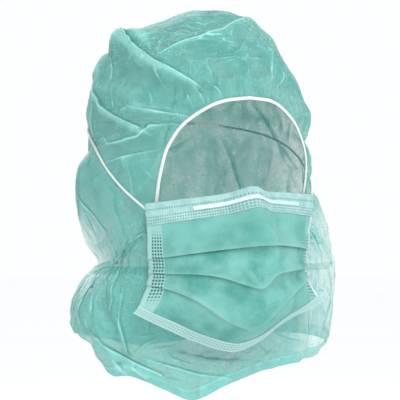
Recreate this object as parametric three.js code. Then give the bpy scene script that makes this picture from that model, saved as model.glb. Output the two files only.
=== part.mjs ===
// Astronaut hood with a built-in pleated face mask: a disposable non-woven hood in its worn form.
// Millimetres, +Z up. The wearer faces -Y, so the wearer's right is -X.
// The origin is the inner face of the crown, where it sits on top of the head.
import * as THREE from 'three';

const { CatmullRomCurve3, MathUtils, ShapeUtils, Vector2, Vector3 } = THREE;

// Driving dimensions
const CLOTH = 1.2; // wall of the hood's non-woven
const PLY = 1.4; // wall of the three-ply mask panel
const BINDING_WALL = 0.9; // each side of the strips folded over the mask's edges
const GAP = 0.3; // clearance between pieces
const CURVED_GAP = 1.1; // and between an elastic and the faceted cloth beside it
const DOME = 90; // from the top of the head down to the level where the crown is widest
const DOME_LEAN = { x: 4, y: -10 }; // the crown's highest point stands ahead of the head's axis
const DOME_RISE = 0.6; // and this much higher
const EDGE_PULL = 45; // how far the face elastic draws the cloth around it
const LAP = 5; // how far the crown's lower edge runs down inside the cape
const LAP_STAND = CLOTH + 2; // how far the cape's upper edge stands out over the crown
const LAP_FADE = 28; // and over what length it comes back in
const FACE_ELASTIC = { width: 2.6, thickness: 2.0 };
const HEAD_ELASTIC = 2.0;
const TOP_BINDING = 17;
const BOTTOM_BINDING = 11;
const NOSE_STRIP = { from: -0.52, to: 0.7, top: 7.2, height: 4.2, thickness: 0.9 };

// How many cells the walls have
const EDGE_COLUMNS = 24; // along the part of the face opening that each hood piece borders
const BACK_COLUMNS = 28; // along the lap from one cheek round the nape to the other
const CROWN_ROWS = 18;
const CAPE_ROWS = 9;
const CAPE_LAP_ROW = 0.08; // the cape's second row, as a part of its height, is about at the end of the lap
const MASK_COLUMNS = 24;
const ELASTIC_STEPS = 14; // places on each side of the head elastic's route

const rad = MathUtils.degToRad;
const smooth = MathUtils.smoothstep;

// A table: one object for each row, with the columns' names.
function table(columns, ...rows) {
  const names = columns.split(' ');
  return rows.map((row) => Object.fromEntries(names.map((name, index) => [name, row[index]])));
}

// Level sections of the hood: how far its cloth stands from the head's axis on each side.
const LEVELS = table(
  'height left right front_left front_right back',
  [-90, 82, 83, 88, 88, 98],
  [-105, 84, 85, 88, 88, 99],
  [-120, 89, 86, 86, 86, 99],
  [-135, 91, 90, 81, 79, 98],
  [-150, 90, 99, 75, 68, 96],
  [-165, 87, 107, 72, 60, 93],
  [-180, 82, 112, 71, 55, 90],
  [-194, 77, 114, 69, 52, 88],
  [-207, 87, 115, 62, 52, 94],
  [-222, 93, 115, 55, 55, 100],
  [-235, 95, 114, 52, 52, 102],
  [-248, 92, 112, 47, 47, 101],
  [-262, 87, 104, 43, 43, 99],
  [-278, 79, 93, 46, 46, 97],
  [-296, 72, 81, 54, 54, 95],
);

// The face opening's edge, from the middle of the forehead down to the chin.
const OPENING = table(
  'height half_width forward',
  [-67, 0, 87],
  [-69.5, 20, 84],
  [-76, 34, 77.5],
  [-86, 46.5, 71.5],
  [-95, 53, 68],
  [-108, 59, 65],
  [-125, 62, 60.5],
  [-145, 63.5, 53],
  [-165, 69, 44.5],
  [-188, 69, 42],
  [-201, 63, 48],
  [-211, 47, 60],
  [-218, 25, 73],
  [-221, 0, 80],
);
const CHEEK = 8; // the row of OPENING where the crown ends and the cape begins

// The lap of cape over crown, from a cheek round to the middle of the nape, the same on both sides.
const LAP_LINE = table(
  'angle height',
  [54, -165],
  [62, -170],
  [72, -178],
  [84, -188],
  [104, -194],
  [130, -196],
  [180, -197],
);

// The cape's hem all the way round. Angles run from the face, positive on the wearer's left.
const HEM = table(
  'angle height',
  [-180, -258],
  [-150, -250],
  [-118, -246],
  [-97, -250],
  [-88, -262],
  [-76, -276],
  [-58, -277],
  [-42, -286],
  [-24, -295],
  [0, -285],
  [20, -275],
  [45, -268],
  [62, -263],
  [90, -252],
  [120, -248],
  [150, -252],
  [180, -258],
);

// Folds and puffs of the cloth: a line of places, how far the cloth stands out there and how wide.
const FOLDS = {
  crown_corner: table('angle height rise width', [-110, -24, 16, 11], [-96, -22, 13, 10], [-86, -24, 5, 9]),
  crown_tuck: table(
    'angle height rise width',
    [-104, -27, 7, 9],
    [-76, -33, 4.5, 8],
    [-60, -39, 4, 8],
    [-46, -46, 3.5, 7],
    [-32, -55, 1, 6],
  ),
  under_tuck: table('angle height rise width', [-84, -45, -3, 10], [-58, -54, -3, 9], [-42, -60, -1, 8]),
  crown_ridge: table(
    'angle height rise width',
    [-56, -34, 1, 7],
    [-34, -22, 3, 8],
    [-8, -15, 3.5, 9],
    [20, -10, 4, 9],
    [52, -14, 3.5, 9],
    [80, -30, 1, 9],
  ),
  back_corner: table('angle height rise width', [-122, -40, 6, 10], [-112, -50, 7, 9], [-100, -62, 3, 8]),
  back_fold: table(
    'angle height rise width',
    [-98, -64, 3, 7],
    [-86, -74, 3, 7],
    [-72, -82, 2.5, 7],
    [-57, -91, 1, 6],
  ),
  ray_high: table('angle height rise width', [-76, -71, 0.5, 6], [-56, -76, 2, 6], [-36, -80, 1, 5]),
  ray_middle: table('angle height rise width', [-88, -104, 0.5, 7], [-70, -99, 2.5, 7], [-52, -88, 1, 5]),
  ray_low: table('angle height rise width', [-80, -117, 0.5, 7], [-66, -113, 2.5, 7], [-50, -107, 1, 5]),
  brow_left_a: table('angle height rise width', [34, -26, 0.5, 6], [21, -45, 2.5, 6], [14, -63, 1, 5]),
  brow_left_b: table('angle height rise width', [40, -36, 0.5, 6], [31, -50, 2.5, 6], [23, -66, 1, 5]),
  temple_left: table('angle height rise width', [80, -62, 0.5, 8], [64, -78, 3, 8], [48, -94, 1, 6]),
  left_tuck: table(
    'angle height rise width',
    [128, -20, 2, 10],
    [108, -34, 5, 10],
    [92, -52, 4, 9],
    [80, -72, 1, 8],
  ),
  back_left_corner: table('angle height rise width', [142, -26, 7, 11], [128, -36, 6, 11], [116, -50, 2, 9]),
  back_seam: table('angle height rise width', [-178, -22, 1, 9], [176, -60, 3.5, 9], [180, -110, 3, 10], [-178, -160, 1, 9]),
  back_right_hang: table('angle height rise width', [-150, -60, 1, 9], [-146, -110, 3, 10], [-152, -170, 1, 9]),
  back_left_hang: table('angle height rise width', [146, -70, 1, 9], [142, -120, 3.5, 10], [150, -175, 1, 9]),
  ear_right: table('angle height rise width', [-100, -128, 3, 14], [-97, -146, 4, 14]),
  ear_left: table('angle height rise width', [98, -128, 3, 14], [96, -146, 4, 14]),
  nape_gather: table(
    'angle height rise width',
    [-88, -190, -1, 14],
    [-116, -196, -4, 14],
    [-150, -199, -4, 15],
    [180, -200, -4, 15],
    [150, -199, -3, 15],
    [116, -196, -2, 14],
  ),
  cape_right_puff: table('angle height rise width', [-110, -222, 3, 12], [-92, -226, 3, 12]),
  cape_right_crease: table('angle height rise width', [-78, -212, -1, 7], [-68, -236, -5, 8], [-58, -262, -2, 7]),
  cape_chin_sag: table('angle height rise width', [-44, -272, 2, 9], [-10, -276, 3, 10], [24, -266, 2, 9]),
  cape_left_crease: table('angle height rise width', [44, -222, -1, 7], [46, -240, -4, 7], [52, -258, -1, 7]),
  cape_left_puff: table('angle height rise width', [46, -164, 1, 9], [50, -186, 4, 10], [52, -210, 2, 9]),
  hem_flap: table('angle height rise width', [-84, -262, 2, 8], [-66, -272, 5, 8], [-52, -274, 2, 8]),
  hem_back_wave: table('angle height rise width', [-150, -226, 4, 12], [180, -236, -4, 14], [150, -226, 4, 12]),
};

// The mask's panel from its top edge to its bottom edge. down is the cloth's own length on the
// middle line. The middle is a cheek line with the nose's rise on top, the sides stand further back, and
// bow says how full the curve between them is.
const PANEL = table(
  'down cheek nose nose_width side_x side_y height nose_up side_height bow',
  [0, 83, 10, 12, 72, 54.7, -139, 4, -144.5, 2],
  [18, 88, 13, 14, 71, 55, -155, 3, -162, 2],
  [36, 94, 19, 17, 69.5, 53.5, -168, 2, -172, 2],
  [50, 99, 13, 22, 68, 52, -181, 1.5, -187, 2.1],
  [84, 100, 4, 24, 67, 51, -211, 0, -199, 2.2],
  [101, 98, 1, 24, 69, 51.5, -227, 0, -208, 2.3],
  [113, 93, 0, 24, 71.5, 52, -238, 0, -213, 2.4],
  [129, 81, 0, 24, 74.5, 53, -248, 0, -218, 2.6],
  [142, 70, 0, 24, 77, 53.5, -253.5, 0, -222, 2.6],
  [153, 61, 0, 24, 80.5, 51, -260.5, 0, -227, 2.6],
);
const PANEL_LENGTH = 153;
const PANEL_DROP = 1.4; // how its edges fall or rise towards the side
const PANEL_ROLL = 3.4; // the wearer's left side sits this much higher than the middle
const PLEATS = table('down lip', [50, 1.8], [84, 2.2], [113, 1.4]);
const PLEAT_RUN = 13; // over this length the cloth above a pleat stands out
const PANEL_ROWS = [0.5, 9, 18, 28, 38, 49.2, 51, 61, 71, 83.2, 85, 99, 112.2, 114, 128, 142, 152.5];

// The head elastic from the mask's top corner up and round the back of the head, the same on both sides.
const ELASTIC_LINE = table(
  'angle height',
  [65, -135],
  [76, -122],
  [88, -110],
  [104, -98],
  [124, -90],
  [150, -85],
  [180, -83.5],
);

// ---- Reading the tables ----

// A smooth value from a table's column, at a place along its key column.
function read(rows, key, place, column) {
  const rising = rows[rows.length - 1][key] > rows[0][key] ? 1 : -1;
  const at = place * rising;
  if (at <= rows[0][key] * rising) return rows[0][column];
  if (at >= rows[rows.length - 1][key] * rising) return rows[rows.length - 1][column];
  const after = rows.findIndex((row) => row[key] * rising >= at);
  const span = (index) => rows[index][key] * rising;
  const slope = (index) => {
    const low = Math.max(index - 1, 0);
    const high = Math.min(index + 1, rows.length - 1);
    return (rows[high][column] - rows[low][column]) / (span(high) - span(low));
  };
  const width = span(after) - span(after - 1);
  const t = (at - span(after - 1)) / width;
  const start = rows[after - 1][column];
  const end = rows[after][column];
  return (
    start * (1 + 2 * t) * (1 - t) ** 2 +
    end * (3 - 2 * t) * t ** 2 +
    width * (slope(after - 1) * t * (1 - t) ** 2 + slope(after) * (t - 1) * t ** 2)
  );
}

// ---- The hood's surface ----

// depth is 0 at the top of the head and DOME at the widest level, and goes straight down from there.
function depthOf(height) {
  if (height <= -DOME) return -height;
  return (Math.acos(1 - (DOME_RISE - height) / (DOME + DOME_RISE)) * DOME) / (Math.PI / 2);
}

// The plain form of the hood, without its folds.
function formPoint(angle, depth) {
  const over = (Math.min(depth / DOME, 1) * Math.PI) / 2;
  const reach = Math.sin(over);
  const level = Math.min(-depth, -DOME);
  const turn = rad(angle);
  const side = read(LEVELS, 'height', level, Math.sin(turn) < 0 ? 'left' : 'right');
  const front = Math.sin(turn) < 0 ? 'front_left' : 'front_right';
  const ahead = read(LEVELS, 'height', level, Math.cos(turn) > 0 ? front : 'back');
  const height = depth < DOME ? DOME_RISE - (DOME + DOME_RISE) * (1 - Math.cos(over)) : -depth;
  return new Vector3(
    reach * side * Math.sin(turn) + DOME_LEAN.x * (1 - reach),
    -reach * ahead * Math.cos(turn) + DOME_LEAN.y * (1 - reach),
    height,
  );
}

function formNormal(angle, depth) {
  const step = 0.5;
  const low = Math.max(depth, 2);
  const down = formPoint(angle, low + step).sub(formPoint(angle, low - step));
  const round = formPoint(angle + step, low).sub(formPoint(angle - step, low));
  return down.cross(round).normalize();
}

// The opening's edge as a loop of places on the form, with how far the elastic draws each forward.
function openingPlace(row, sign) {
  const depth = depthOf(row.height);
  const side = Math.abs(formPoint(90 * sign, depth).x);
  const angle = sign * MathUtils.radToDeg(Math.asin(row.half_width / side));
  return { angle, depth, pull: -row.forward - formPoint(angle, depth).y };
}

const EDGE_STEPS = 3;
const openingRows = [];
for (let index = 0; index < OPENING.length - 1; index += 1) {
  for (let step = 0; step < EDGE_STEPS; step += 1) openingRows.push(blendRows(OPENING, index + step / EDGE_STEPS));
}
openingRows.push(OPENING[OPENING.length - 1]);

// A place between two rows of a table, counted in rows.
function blendRows(rows, place) {
  const numbered = rows.map((row, index) => ({ ...row, index }));
  const names = Object.keys(rows[0]);
  return Object.fromEntries(names.map((name) => [name, read(numbered, 'index', place, name)]));
}

const PULLS = [-1, 1].flatMap((sign) =>
  openingRows.map((row) => {
    const place = openingPlace(row, sign);
    return { at: formPoint(place.angle, place.depth), pull: place.pull };
  }),
);
const PULL_REACH = 9; // neighbouring edge places are averaged over this length

function edgePull(point) {
  let total = 0;
  let sum = 0;
  let nearest = Infinity;
  for (const { at, pull } of PULLS) {
    const distance = at.distanceTo(point);
    nearest = Math.min(nearest, distance);
    const weight = Math.exp(-((distance / PULL_REACH) ** 2));
    total += weight;
    sum += weight * pull;
  }
  if (nearest > EDGE_PULL || total === 0) return 0;
  return (sum / total) * (1 - smooth(nearest, 0, EDGE_PULL));
}

const FOLD_LINES = Object.values(FOLDS).map((rows) =>
  rows.map((row) => ({ ...row, at: formPoint(row.angle, depthOf(row.height)) })),
);

// How far the folds push the cloth out at a point of the plain form.
function foldRise(point) {
  let rise = 0;
  for (const line of FOLD_LINES) {
    let best = Infinity;
    let found = 0;
    for (let index = 1; index < line.length; index += 1) {
      const [a, b] = [line[index - 1], line[index]];
      const along = b.at.clone().sub(a.at);
      const t = MathUtils.clamp(point.clone().sub(a.at).dot(along) / along.lengthSq(), 0, 1);
      const distance = a.at.clone().addScaledVector(along, t).distanceTo(point);
      const scaled = distance / MathUtils.lerp(a.width, b.width, t);
      if (scaled < best) {
        best = scaled;
        found = MathUtils.lerp(a.rise, b.rise, t);
      }
    }
    rise += found * Math.exp(-(best ** 2));
  }
  return rise;
}

// The inner face of the hood's cloth, with an extra distance that it stands out.
function hoodPoint(angle, depth, out = 0) {
  const form = formPoint(angle, depth);
  const lift = foldRise(form) + out;
  const pull = edgePull(form);
  return form.addScaledVector(formNormal(angle, depth), lift).add(new Vector3(0, pull, 0));
}

// The cloth's own outward direction, with its folds and the elastic's pull.
function hoodNormal(angle, depth) {
  const step = 1.5;
  const down = hoodPoint(angle, depth + step).sub(hoodPoint(angle, depth - step));
  const round = hoodPoint(angle + step, depth).sub(hoodPoint(angle - step, depth));
  return down.cross(round).normalize();
}

// ---- Building closed meshes ----

function volume(points, triangles) {
  return triangles.reduce((sum, [a, b, c]) => sum + points[a].dot(points[b].clone().cross(points[c])), 0);
}

function piece(name, points, triangles, look) {
  const facing = volume(points, triangles) > 0 ? triangles : triangles.map(([a, b, c]) => [a, c, b]);
  const geometry = new THREE.BufferGeometry();
  geometry.setAttribute('position', new THREE.Float32BufferAttribute(points.flatMap((p) => p.toArray()), 3));
  geometry.setIndex(facing.flat());
  geometry.computeVertexNormals();
  const mesh = new THREE.Mesh(geometry, new THREE.MeshStandardMaterial(look));
  mesh.name = name;
  return mesh;
}

// Outward direction at each point of a grid whose rows run down and whose columns run to the wearer's left.
function gridNormals(rows, ring) {
  const last = rows[0].length - 1;
  return rows.map((row, i) =>
    row.map((point, j) => {
      const before = ring ? (j + last) % (last + 1) : Math.max(j - 1, 0);
      const after = ring ? (j + 1) % (last + 1) : Math.min(j + 1, last);
      const down = rows[Math.min(i + 1, rows.length - 1)][j].clone().sub(rows[Math.max(i - 1, 0)][j]);
      return down.cross(row[after].clone().sub(row[before])).normalize();
    }),
  );
}

// A wall of cloth: the grid is its inner face, or its middle when centred, and pole closes the first row.
function wall(rows, thickness, { ring = false, pole = null, centred = false, normals = gridNormals(rows, ring) }) {
  const count = rows[0].length;
  const face = (from) => rows.flatMap((row, i) => row.map((p, j) => p.clone().addScaledVector(normals[i][j], from)));
  const low = centred ? -thickness / 2 : 0;
  const points = [...face(low), ...face(low + thickness)];
  const inner = (i, j) => i * count + (j % count);
  const outer = (i, j) => rows.length * count + inner(i, j);
  const triangles = [];
  const quad = (a, b, c, d) => triangles.push([a, b, c], [a, c, d]);
  const columns = ring ? count : count - 1;
  const bottom = rows.length - 1;
  for (let j = 0; j < columns; j += 1) {
    for (let i = 0; i < bottom; i += 1) {
      quad(outer(i, j), outer(i + 1, j), outer(i + 1, j + 1), outer(i, j + 1));
      quad(inner(i, j), inner(i, j + 1), inner(i + 1, j + 1), inner(i + 1, j));
    }
    quad(outer(bottom, j), inner(bottom, j), inner(bottom, j + 1), outer(bottom, j + 1));
    if (!pole) quad(outer(0, j), outer(0, j + 1), inner(0, j + 1), inner(0, j));
  }
  if (!ring) {
    for (let i = 0; i < bottom; i += 1) {
      quad(outer(i, 0), inner(i, 0), inner(i + 1, 0), outer(i + 1, 0));
      quad(outer(i, columns), outer(i + 1, columns), inner(i + 1, columns), inner(i, columns));
    }
  }
  if (pole) {
    const [innerPole, outerPole] = [points.length, points.length + 1];
    points.push(pole.clone(), pole.clone().add(new Vector3(0, 0, thickness)));
    for (let j = 0; j < columns; j += 1) {
      triangles.push([outerPole, outer(0, j), outer(0, j + 1)], [innerPole, inner(0, j + 1), inner(0, j)]);
    }
  }
  return [points, triangles];
}

// A body swept through rings of the same number of points, closed on itself or capped at both ends.
// shape is the section's own flat outline, for its caps.
function sweep(rings, shape, closed) {
  if (ShapeUtils.isClockWise(shape)) return sweep(rings.map((ring) => ring.toReversed()), shape.toReversed(), closed);
  const count = rings[0].length;
  const points = rings.flat();
  const triangles = [];
  const at = (ring, index) => (ring % rings.length) * count + (index % count);
  for (let ring = 0; ring < rings.length - (closed ? 0 : 1); ring += 1) {
    for (let index = 0; index < count; index += 1) {
      const [a, b, c, d] = [at(ring, index), at(ring, index + 1), at(ring + 1, index + 1), at(ring + 1, index)];
      triangles.push([a, b, c], [a, c, d]);
    }
  }
  if (!closed) {
    const end = (rings.length - 1) * count;
    for (const [a, b, c] of ShapeUtils.triangulateShape(shape, [])) {
      triangles.push([a, c, b], [end + a, end + b, end + c]);
    }
  }
  return [points, triangles];
}

function ellipse(width, height, sides) {
  return Array.from({ length: sides }, (_, index) => {
    const turn = (index / sides) * 2 * Math.PI;
    return new Vector2((Math.cos(turn) * width) / 2, (Math.sin(turn) * height) / 2);
  });
}

// ---- The hood's edges, as places with an angle and a depth ----

// The opening's edge from one row of OPENING to another, on one side.
function edgePlaces(from, to, sign, steps) {
  return Array.from({ length: steps + 1 }, (_, step) =>
    openingPlace(blendRows(OPENING, MathUtils.lerp(from, to, step / steps)), sign),
  );
}

// The lap from the wearer's left cheek round the nape to the right cheek, with a drop below the line.
function lapPlaces(drop) {
  const corner = { 1: openingPlace(OPENING[CHEEK], 1).angle, '-1': -openingPlace(OPENING[CHEEK], -1).angle };
  const places = [];
  for (let step = 0; step <= BACK_COLUMNS; step += 1) {
    const round = MathUtils.lerp(corner[1], 360 - corner[-1], step / BACK_COLUMNS);
    const sign = round < 180 ? 1 : -1;
    const off = sign > 0 ? round : 360 - round;
    const eased = MathUtils.mapLinear(off, corner[sign], 180, LAP_LINE[0].angle, 180);
    places.push({ angle: round, depth: depthOf(read(LAP_LINE, 'angle', eased, 'height') - drop) });
  }
  return places;
}

const half = EDGE_COLUMNS / 2;
// Both loops start at the wearer's right cheek, cross the front to the left cheek and come back round the nape.
const lowerEdge = OPENING.length - 1;
// The crown's corner reaches below the cheek row by the lap, counted in rows.
const cheekDrop = LAP / (OPENING[CHEEK].height - OPENING[CHEEK + 1].height);
const crownLoop = [
  ...edgePlaces(CHEEK + cheekDrop, 0, -1, half).slice(0, half),
  ...edgePlaces(0, CHEEK + cheekDrop, 1, half).slice(0, half),
  ...lapPlaces(LAP).slice(0, BACK_COLUMNS),
];
const capeLoop = [
  ...edgePlaces(CHEEK, lowerEdge, -1, half).slice(0, half),
  ...edgePlaces(lowerEdge, CHEEK, 1, half).slice(0, half),
  ...lapPlaces(0).slice(0, BACK_COLUMNS),
];
const openingLoop = [
  ...edgePlaces(lowerEdge, CHEEK, -1, half).slice(0, half),
  ...crownLoop.slice(0, EDGE_COLUMNS),
  ...edgePlaces(CHEEK + cheekDrop, lowerEdge, 1, half).slice(0, half),
];

// Where a wall ends beside the face elastic: away from its middle line by half its width and a gap.
// The loop's neighbouring places give the line's direction, and the cloth lies to its left seen from outside.
function besideElastic(loop, index, side, out = 0) {
  const place = loop[index];
  const before = loop[Math.max(index - 1, 0)];
  const after = loop[Math.min(index + 1, EDGE_COLUMNS)];
  const along = hoodPoint(after.angle, after.depth).sub(hoodPoint(before.angle, before.depth)).normalize();
  const away = hoodNormal(place.angle, place.depth).cross(along).normalize();
  return hoodPoint(place.angle, place.depth, out).addScaledVector(away, side * (FACE_ELASTIC.width / 2 + CURVED_GAP));
}

// ---- The pieces ----

const GREEN = { color: 0x7cc9bd, roughness: 0.85, metalness: 0 };
const MINT = { color: 0xb9e2d9, roughness: 0.8, metalness: 0 };
const WHITE = { color: 0xf2f6f4, roughness: 0.7, metalness: 0 };

const FRONT_SPREAD = 80; // columns that end at the opening leave the crown's top within this angle of the face
const CROWN_TURN = 2.5; // and turn towards it mostly near their lower end
const CLEAR_FROM = 0.8; // from here down a column moves aside to end beside the face elastic
const HEM_SPREAD = { right: -82, left: 64 }; // and those that leave the opening reach the hem between these
const HEM_TURN = 4; // they turn towards it near the opening, and the columns at the nape turn evenly
const CHEEK_COLUMNS = 4; // both change over this many columns from a cheek

function crownPiece() {
  const columns = crownLoop.map((end, index) => {
    const start =
      index < EDGE_COLUMNS
        ? MathUtils.lerp(-FRONT_SPREAD, FRONT_SPREAD, index / EDGE_COLUMNS)
        : MathUtils.lerp(FRONT_SPREAD, 360 - FRONT_SPREAD, (index - EDGE_COLUMNS) / BACK_COLUMNS);
    return (t) => hoodPoint(MathUtils.lerp(start, end.angle, t ** CROWN_TURN), end.depth * t);
  });
  const clear = columns.map((column, index) =>
    index <= EDGE_COLUMNS ? besideElastic(crownLoop, index, 1).sub(column(1)) : new Vector3(),
  );
  const rows = Array.from({ length: CROWN_ROWS }, (_, row) =>
    columns.map((column, index) => {
      const lapStart = 1 - LAP / crownLoop[index].depth;
      const t = row === CROWN_ROWS - 1 ? 1 : (lapStart * (row + 1)) / (CROWN_ROWS - 1);
      return column(t).addScaledVector(clear[index], smooth(t, CLEAR_FROM, lapStart));
    }),
  );
  return piece('hood_crown', ...wall(rows, CLOTH, { ring: true, pole: hoodPoint(0, 0) }), GREEN);
}

function capePiece() {
  const columns = capeLoop.map((start, index) => {
    const front = index < EDGE_COLUMNS;
    const end = front
      ? MathUtils.lerp(HEM_SPREAD.right, HEM_SPREAD.left, index / EDGE_COLUMNS)
      : MathUtils.lerp(HEM_SPREAD.left, 360 + HEM_SPREAD.right, (index - EDGE_COLUMNS) / BACK_COLUMNS);
    const hem = depthOf(read(HEM, 'angle', end > 180 ? end - 360 : end, 'height'));
    const fromCheek = Math.min(index, Math.abs(EDGE_COLUMNS - index), capeLoop.length - index);
    const lap = front ? LAP_STAND * (1 - smooth(fromCheek, 0, CHEEK_COLUMNS)) : LAP_STAND;
    const turn = front ? HEM_TURN : MathUtils.lerp(HEM_TURN, 1, smooth(fromCheek, 0, CHEEK_COLUMNS));
    return { lap, at: (t) => {
      const depth = MathUtils.lerp(start.depth, hem, t);
      const out = lap * (1 - smooth(depth - start.depth, LAP, LAP_FADE));
      return hoodPoint(MathUtils.lerp(end, start.angle, (1 - t) ** turn), depth, out);
    } };
  });
  const rows = Array.from({ length: CAPE_ROWS + 1 }, (_, row) =>
    columns.map((column, index) => {
      if (row === 0) return index <= EDGE_COLUMNS ? besideElastic(capeLoop, index, -1, column.lap) : column.at(0);
      return column.at(MathUtils.lerp(CAPE_LAP_ROW, 1, (row - 1) / (CAPE_ROWS - 1)));
    }),
  );
  return piece('neck_cape', ...wall(rows, CLOTH, { ring: true }), GREEN);
}

function faceBindingPiece() {
  const section = ellipse(FACE_ELASTIC.width, FACE_ELASTIC.thickness, 8);
  const middle = openingLoop.map((place) => hoodPoint(place.angle, place.depth, CLOTH / 2));
  const rings = middle.map((centre, index) => {
    const place = openingLoop[index];
    const along = middle[(index + 1) % middle.length].clone().sub(middle.at(index - 1)).normalize();
    const out = hoodNormal(place.angle, place.depth);
    const across = along.clone().cross(out).normalize();
    return section.map((p) => centre.clone().addScaledVector(across, p.x).addScaledVector(out, p.y));
  });
  return piece('face_binding', ...sweep(rings, section, true), WHITE);
}

// A point of the mask panel's middle surface. across runs from -1 at the wearer's right to 1.
function panelPoint(across, down) {
  const value = (column) => read(PANEL, 'down', down, column);
  const x = value('side_x') * across;
  const nose = Math.exp(-((x / value('nose_width')) ** 2));
  const out = Math.abs(across);
  let forward = MathUtils.lerp(value('cheek'), value('side_y'), out ** value('bow')) + value('nose') * nose;
  for (const pleat of PLEATS) {
    const above = pleat.down - down;
    if (above > 0 && above < PLEAT_RUN) forward += pleat.lip * (1 - above / PLEAT_RUN) * (1 - out ** 4);
  }
  const height =
    MathUtils.lerp(value('height'), value('side_height'), out ** PANEL_DROP) +
    value('nose_up') * nose +
    PANEL_ROLL * across;
  return new Vector3(x, -forward, height);
}

function panelNormal(across, down) {
  const step = 0.02;
  const low = MathUtils.clamp(down, 1, PANEL_LENGTH - 1);
  const drop = panelPoint(across, low + 1).sub(panelPoint(across, low - 1));
  const left = Math.min(across + step, 1);
  const right = Math.max(across - step, -1);
  return drop.cross(panelPoint(left, low).sub(panelPoint(right, low))).normalize();
}

// Places across the mask, closer together at the nose.
const PANEL_ACROSS = Array.from({ length: MASK_COLUMNS + 1 }, (_, index) => {
  const even = (index / MASK_COLUMNS) * 2 - 1;
  return Math.sign(even) * Math.abs(even) ** 1.25;
});

function maskBodyPiece() {
  const grid = (value) => PANEL_ROWS.map((down) => PANEL_ACROSS.map((across) => value(across, down)));
  return piece('mask_body', ...wall(grid(panelPoint), PLY, { centred: true, normals: grid(panelNormal) }), GREEN);
}

// A strip along the mask, from an outline of places down the panel and distances off its middle surface.
function panelStrip(name, outline, places, look) {
  const shape = outline.map(([down, off]) => new Vector2(down, off));
  const rings = places.map((across) =>
    outline.map(([down, off]) => {
      const over = Math.min(Math.max(down, 0.5), PANEL_LENGTH - 0.5);
      const normal = panelNormal(across, over);
      const edge = panelPoint(across, over);
      const beyond = panelPoint(across, over + 0.5).sub(panelPoint(across, over - 0.5)).normalize();
      return edge.addScaledVector(beyond, down - over).addScaledVector(normal, off);
    }),
  );
  return piece(name, ...sweep(rings, shape, false), look);
}

const BIND_IN = PLY / 2 + 3 * GAP;
const BIND_OUT = BIND_IN + BINDING_WALL;

// A strip folded over an edge of the panel: fold is just past the edge, and reach is where the strip ends.
function bindingOutline(fold, middle, reach) {
  const back = fold + Math.sign(fold - reach) * BINDING_WALL;
  return [
    [reach, BIND_OUT],
    [middle, BIND_OUT],
    [back, BIND_OUT],
    [back, -BIND_OUT],
    [middle, -BIND_OUT],
    [reach, -BIND_OUT],
    [reach, -BIND_IN],
    [middle, -BIND_IN],
    [fold, -BIND_IN],
    [fold, BIND_IN],
    [middle, BIND_IN],
    [reach, BIND_IN],
  ];
}

function noseStripPiece() {
  const low = BIND_OUT + 2 * GAP;
  const high = low + NOSE_STRIP.thickness;
  const end = NOSE_STRIP.top + NOSE_STRIP.height;
  const outline = [[NOSE_STRIP.top, low], [end, low], [end, high], [NOSE_STRIP.top, high]];
  const inside = PANEL_ACROSS.filter((across) => across > NOSE_STRIP.from + 0.02 && across < NOSE_STRIP.to - 0.02);
  return panelStrip('nose_strip', outline, [NOSE_STRIP.from, ...inside, NOSE_STRIP.to], WHITE);
}

function headElasticPiece() {
  const stand = CLOTH + CURVED_GAP + HEAD_ELASTIC / 2;
  const side = (sign) => {
    const corner = panelPoint(sign, 5).add(new Vector3(sign * 3 * GAP, 0.4, 0));
    const first = ELASTIC_LINE[0].angle;
    const out = Array.from({ length: ELASTIC_STEPS }, (_, step) => {
      const angle = MathUtils.lerp(first, 180, step / ELASTIC_STEPS);
      return hoodPoint(sign * angle, depthOf(read(ELASTIC_LINE, 'angle', angle, 'height')), stand);
    });
    return [corner, ...out];
  };
  const middle = hoodPoint(180, depthOf(ELASTIC_LINE.at(-1).height), stand);
  const route = [...side(-1), middle, ...side(1).reverse()];
  const geometry = new THREE.ExtrudeGeometry(new THREE.Shape(ellipse(HEAD_ELASTIC, HEAD_ELASTIC, 8)), {
    extrudePath: new CatmullRomCurve3(route, false, 'centripetal'),
    steps: 64,
  });
  const mesh = new THREE.Mesh(geometry, new THREE.MeshStandardMaterial(WHITE));
  mesh.name = 'head_elastic';
  return mesh;
}

const hood = new THREE.Group();
hood.add(
  crownPiece(),
  capePiece(),
  faceBindingPiece(),
  maskBodyPiece(),
  panelStrip('mask_top_binding', bindingOutline(-GAP, 9, TOP_BINDING), PANEL_ACROSS, MINT),
  panelStrip(
    'mask_bottom_binding',
    bindingOutline(PANEL_LENGTH + GAP, 147, PANEL_LENGTH - BOTTOM_BINDING),
    PANEL_ACROSS,
    MINT,
  ),
  noseStripPiece(),
  headElasticPiece(),
);

export default hood;
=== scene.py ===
# Looks of a disposable surgical hood with a built-in pleated face mask, modelled around its CAD frame.
# The hood's form is worked out in millimetres in the same way as its solids. Meshes are written in metres.
import math

import bpy
import numpy as np
from bpy.props import FloatProperty, FloatVectorProperty, PointerProperty
from bpy.types import Operator, Panel, PropertyGroup
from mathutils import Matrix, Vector, noise


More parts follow.
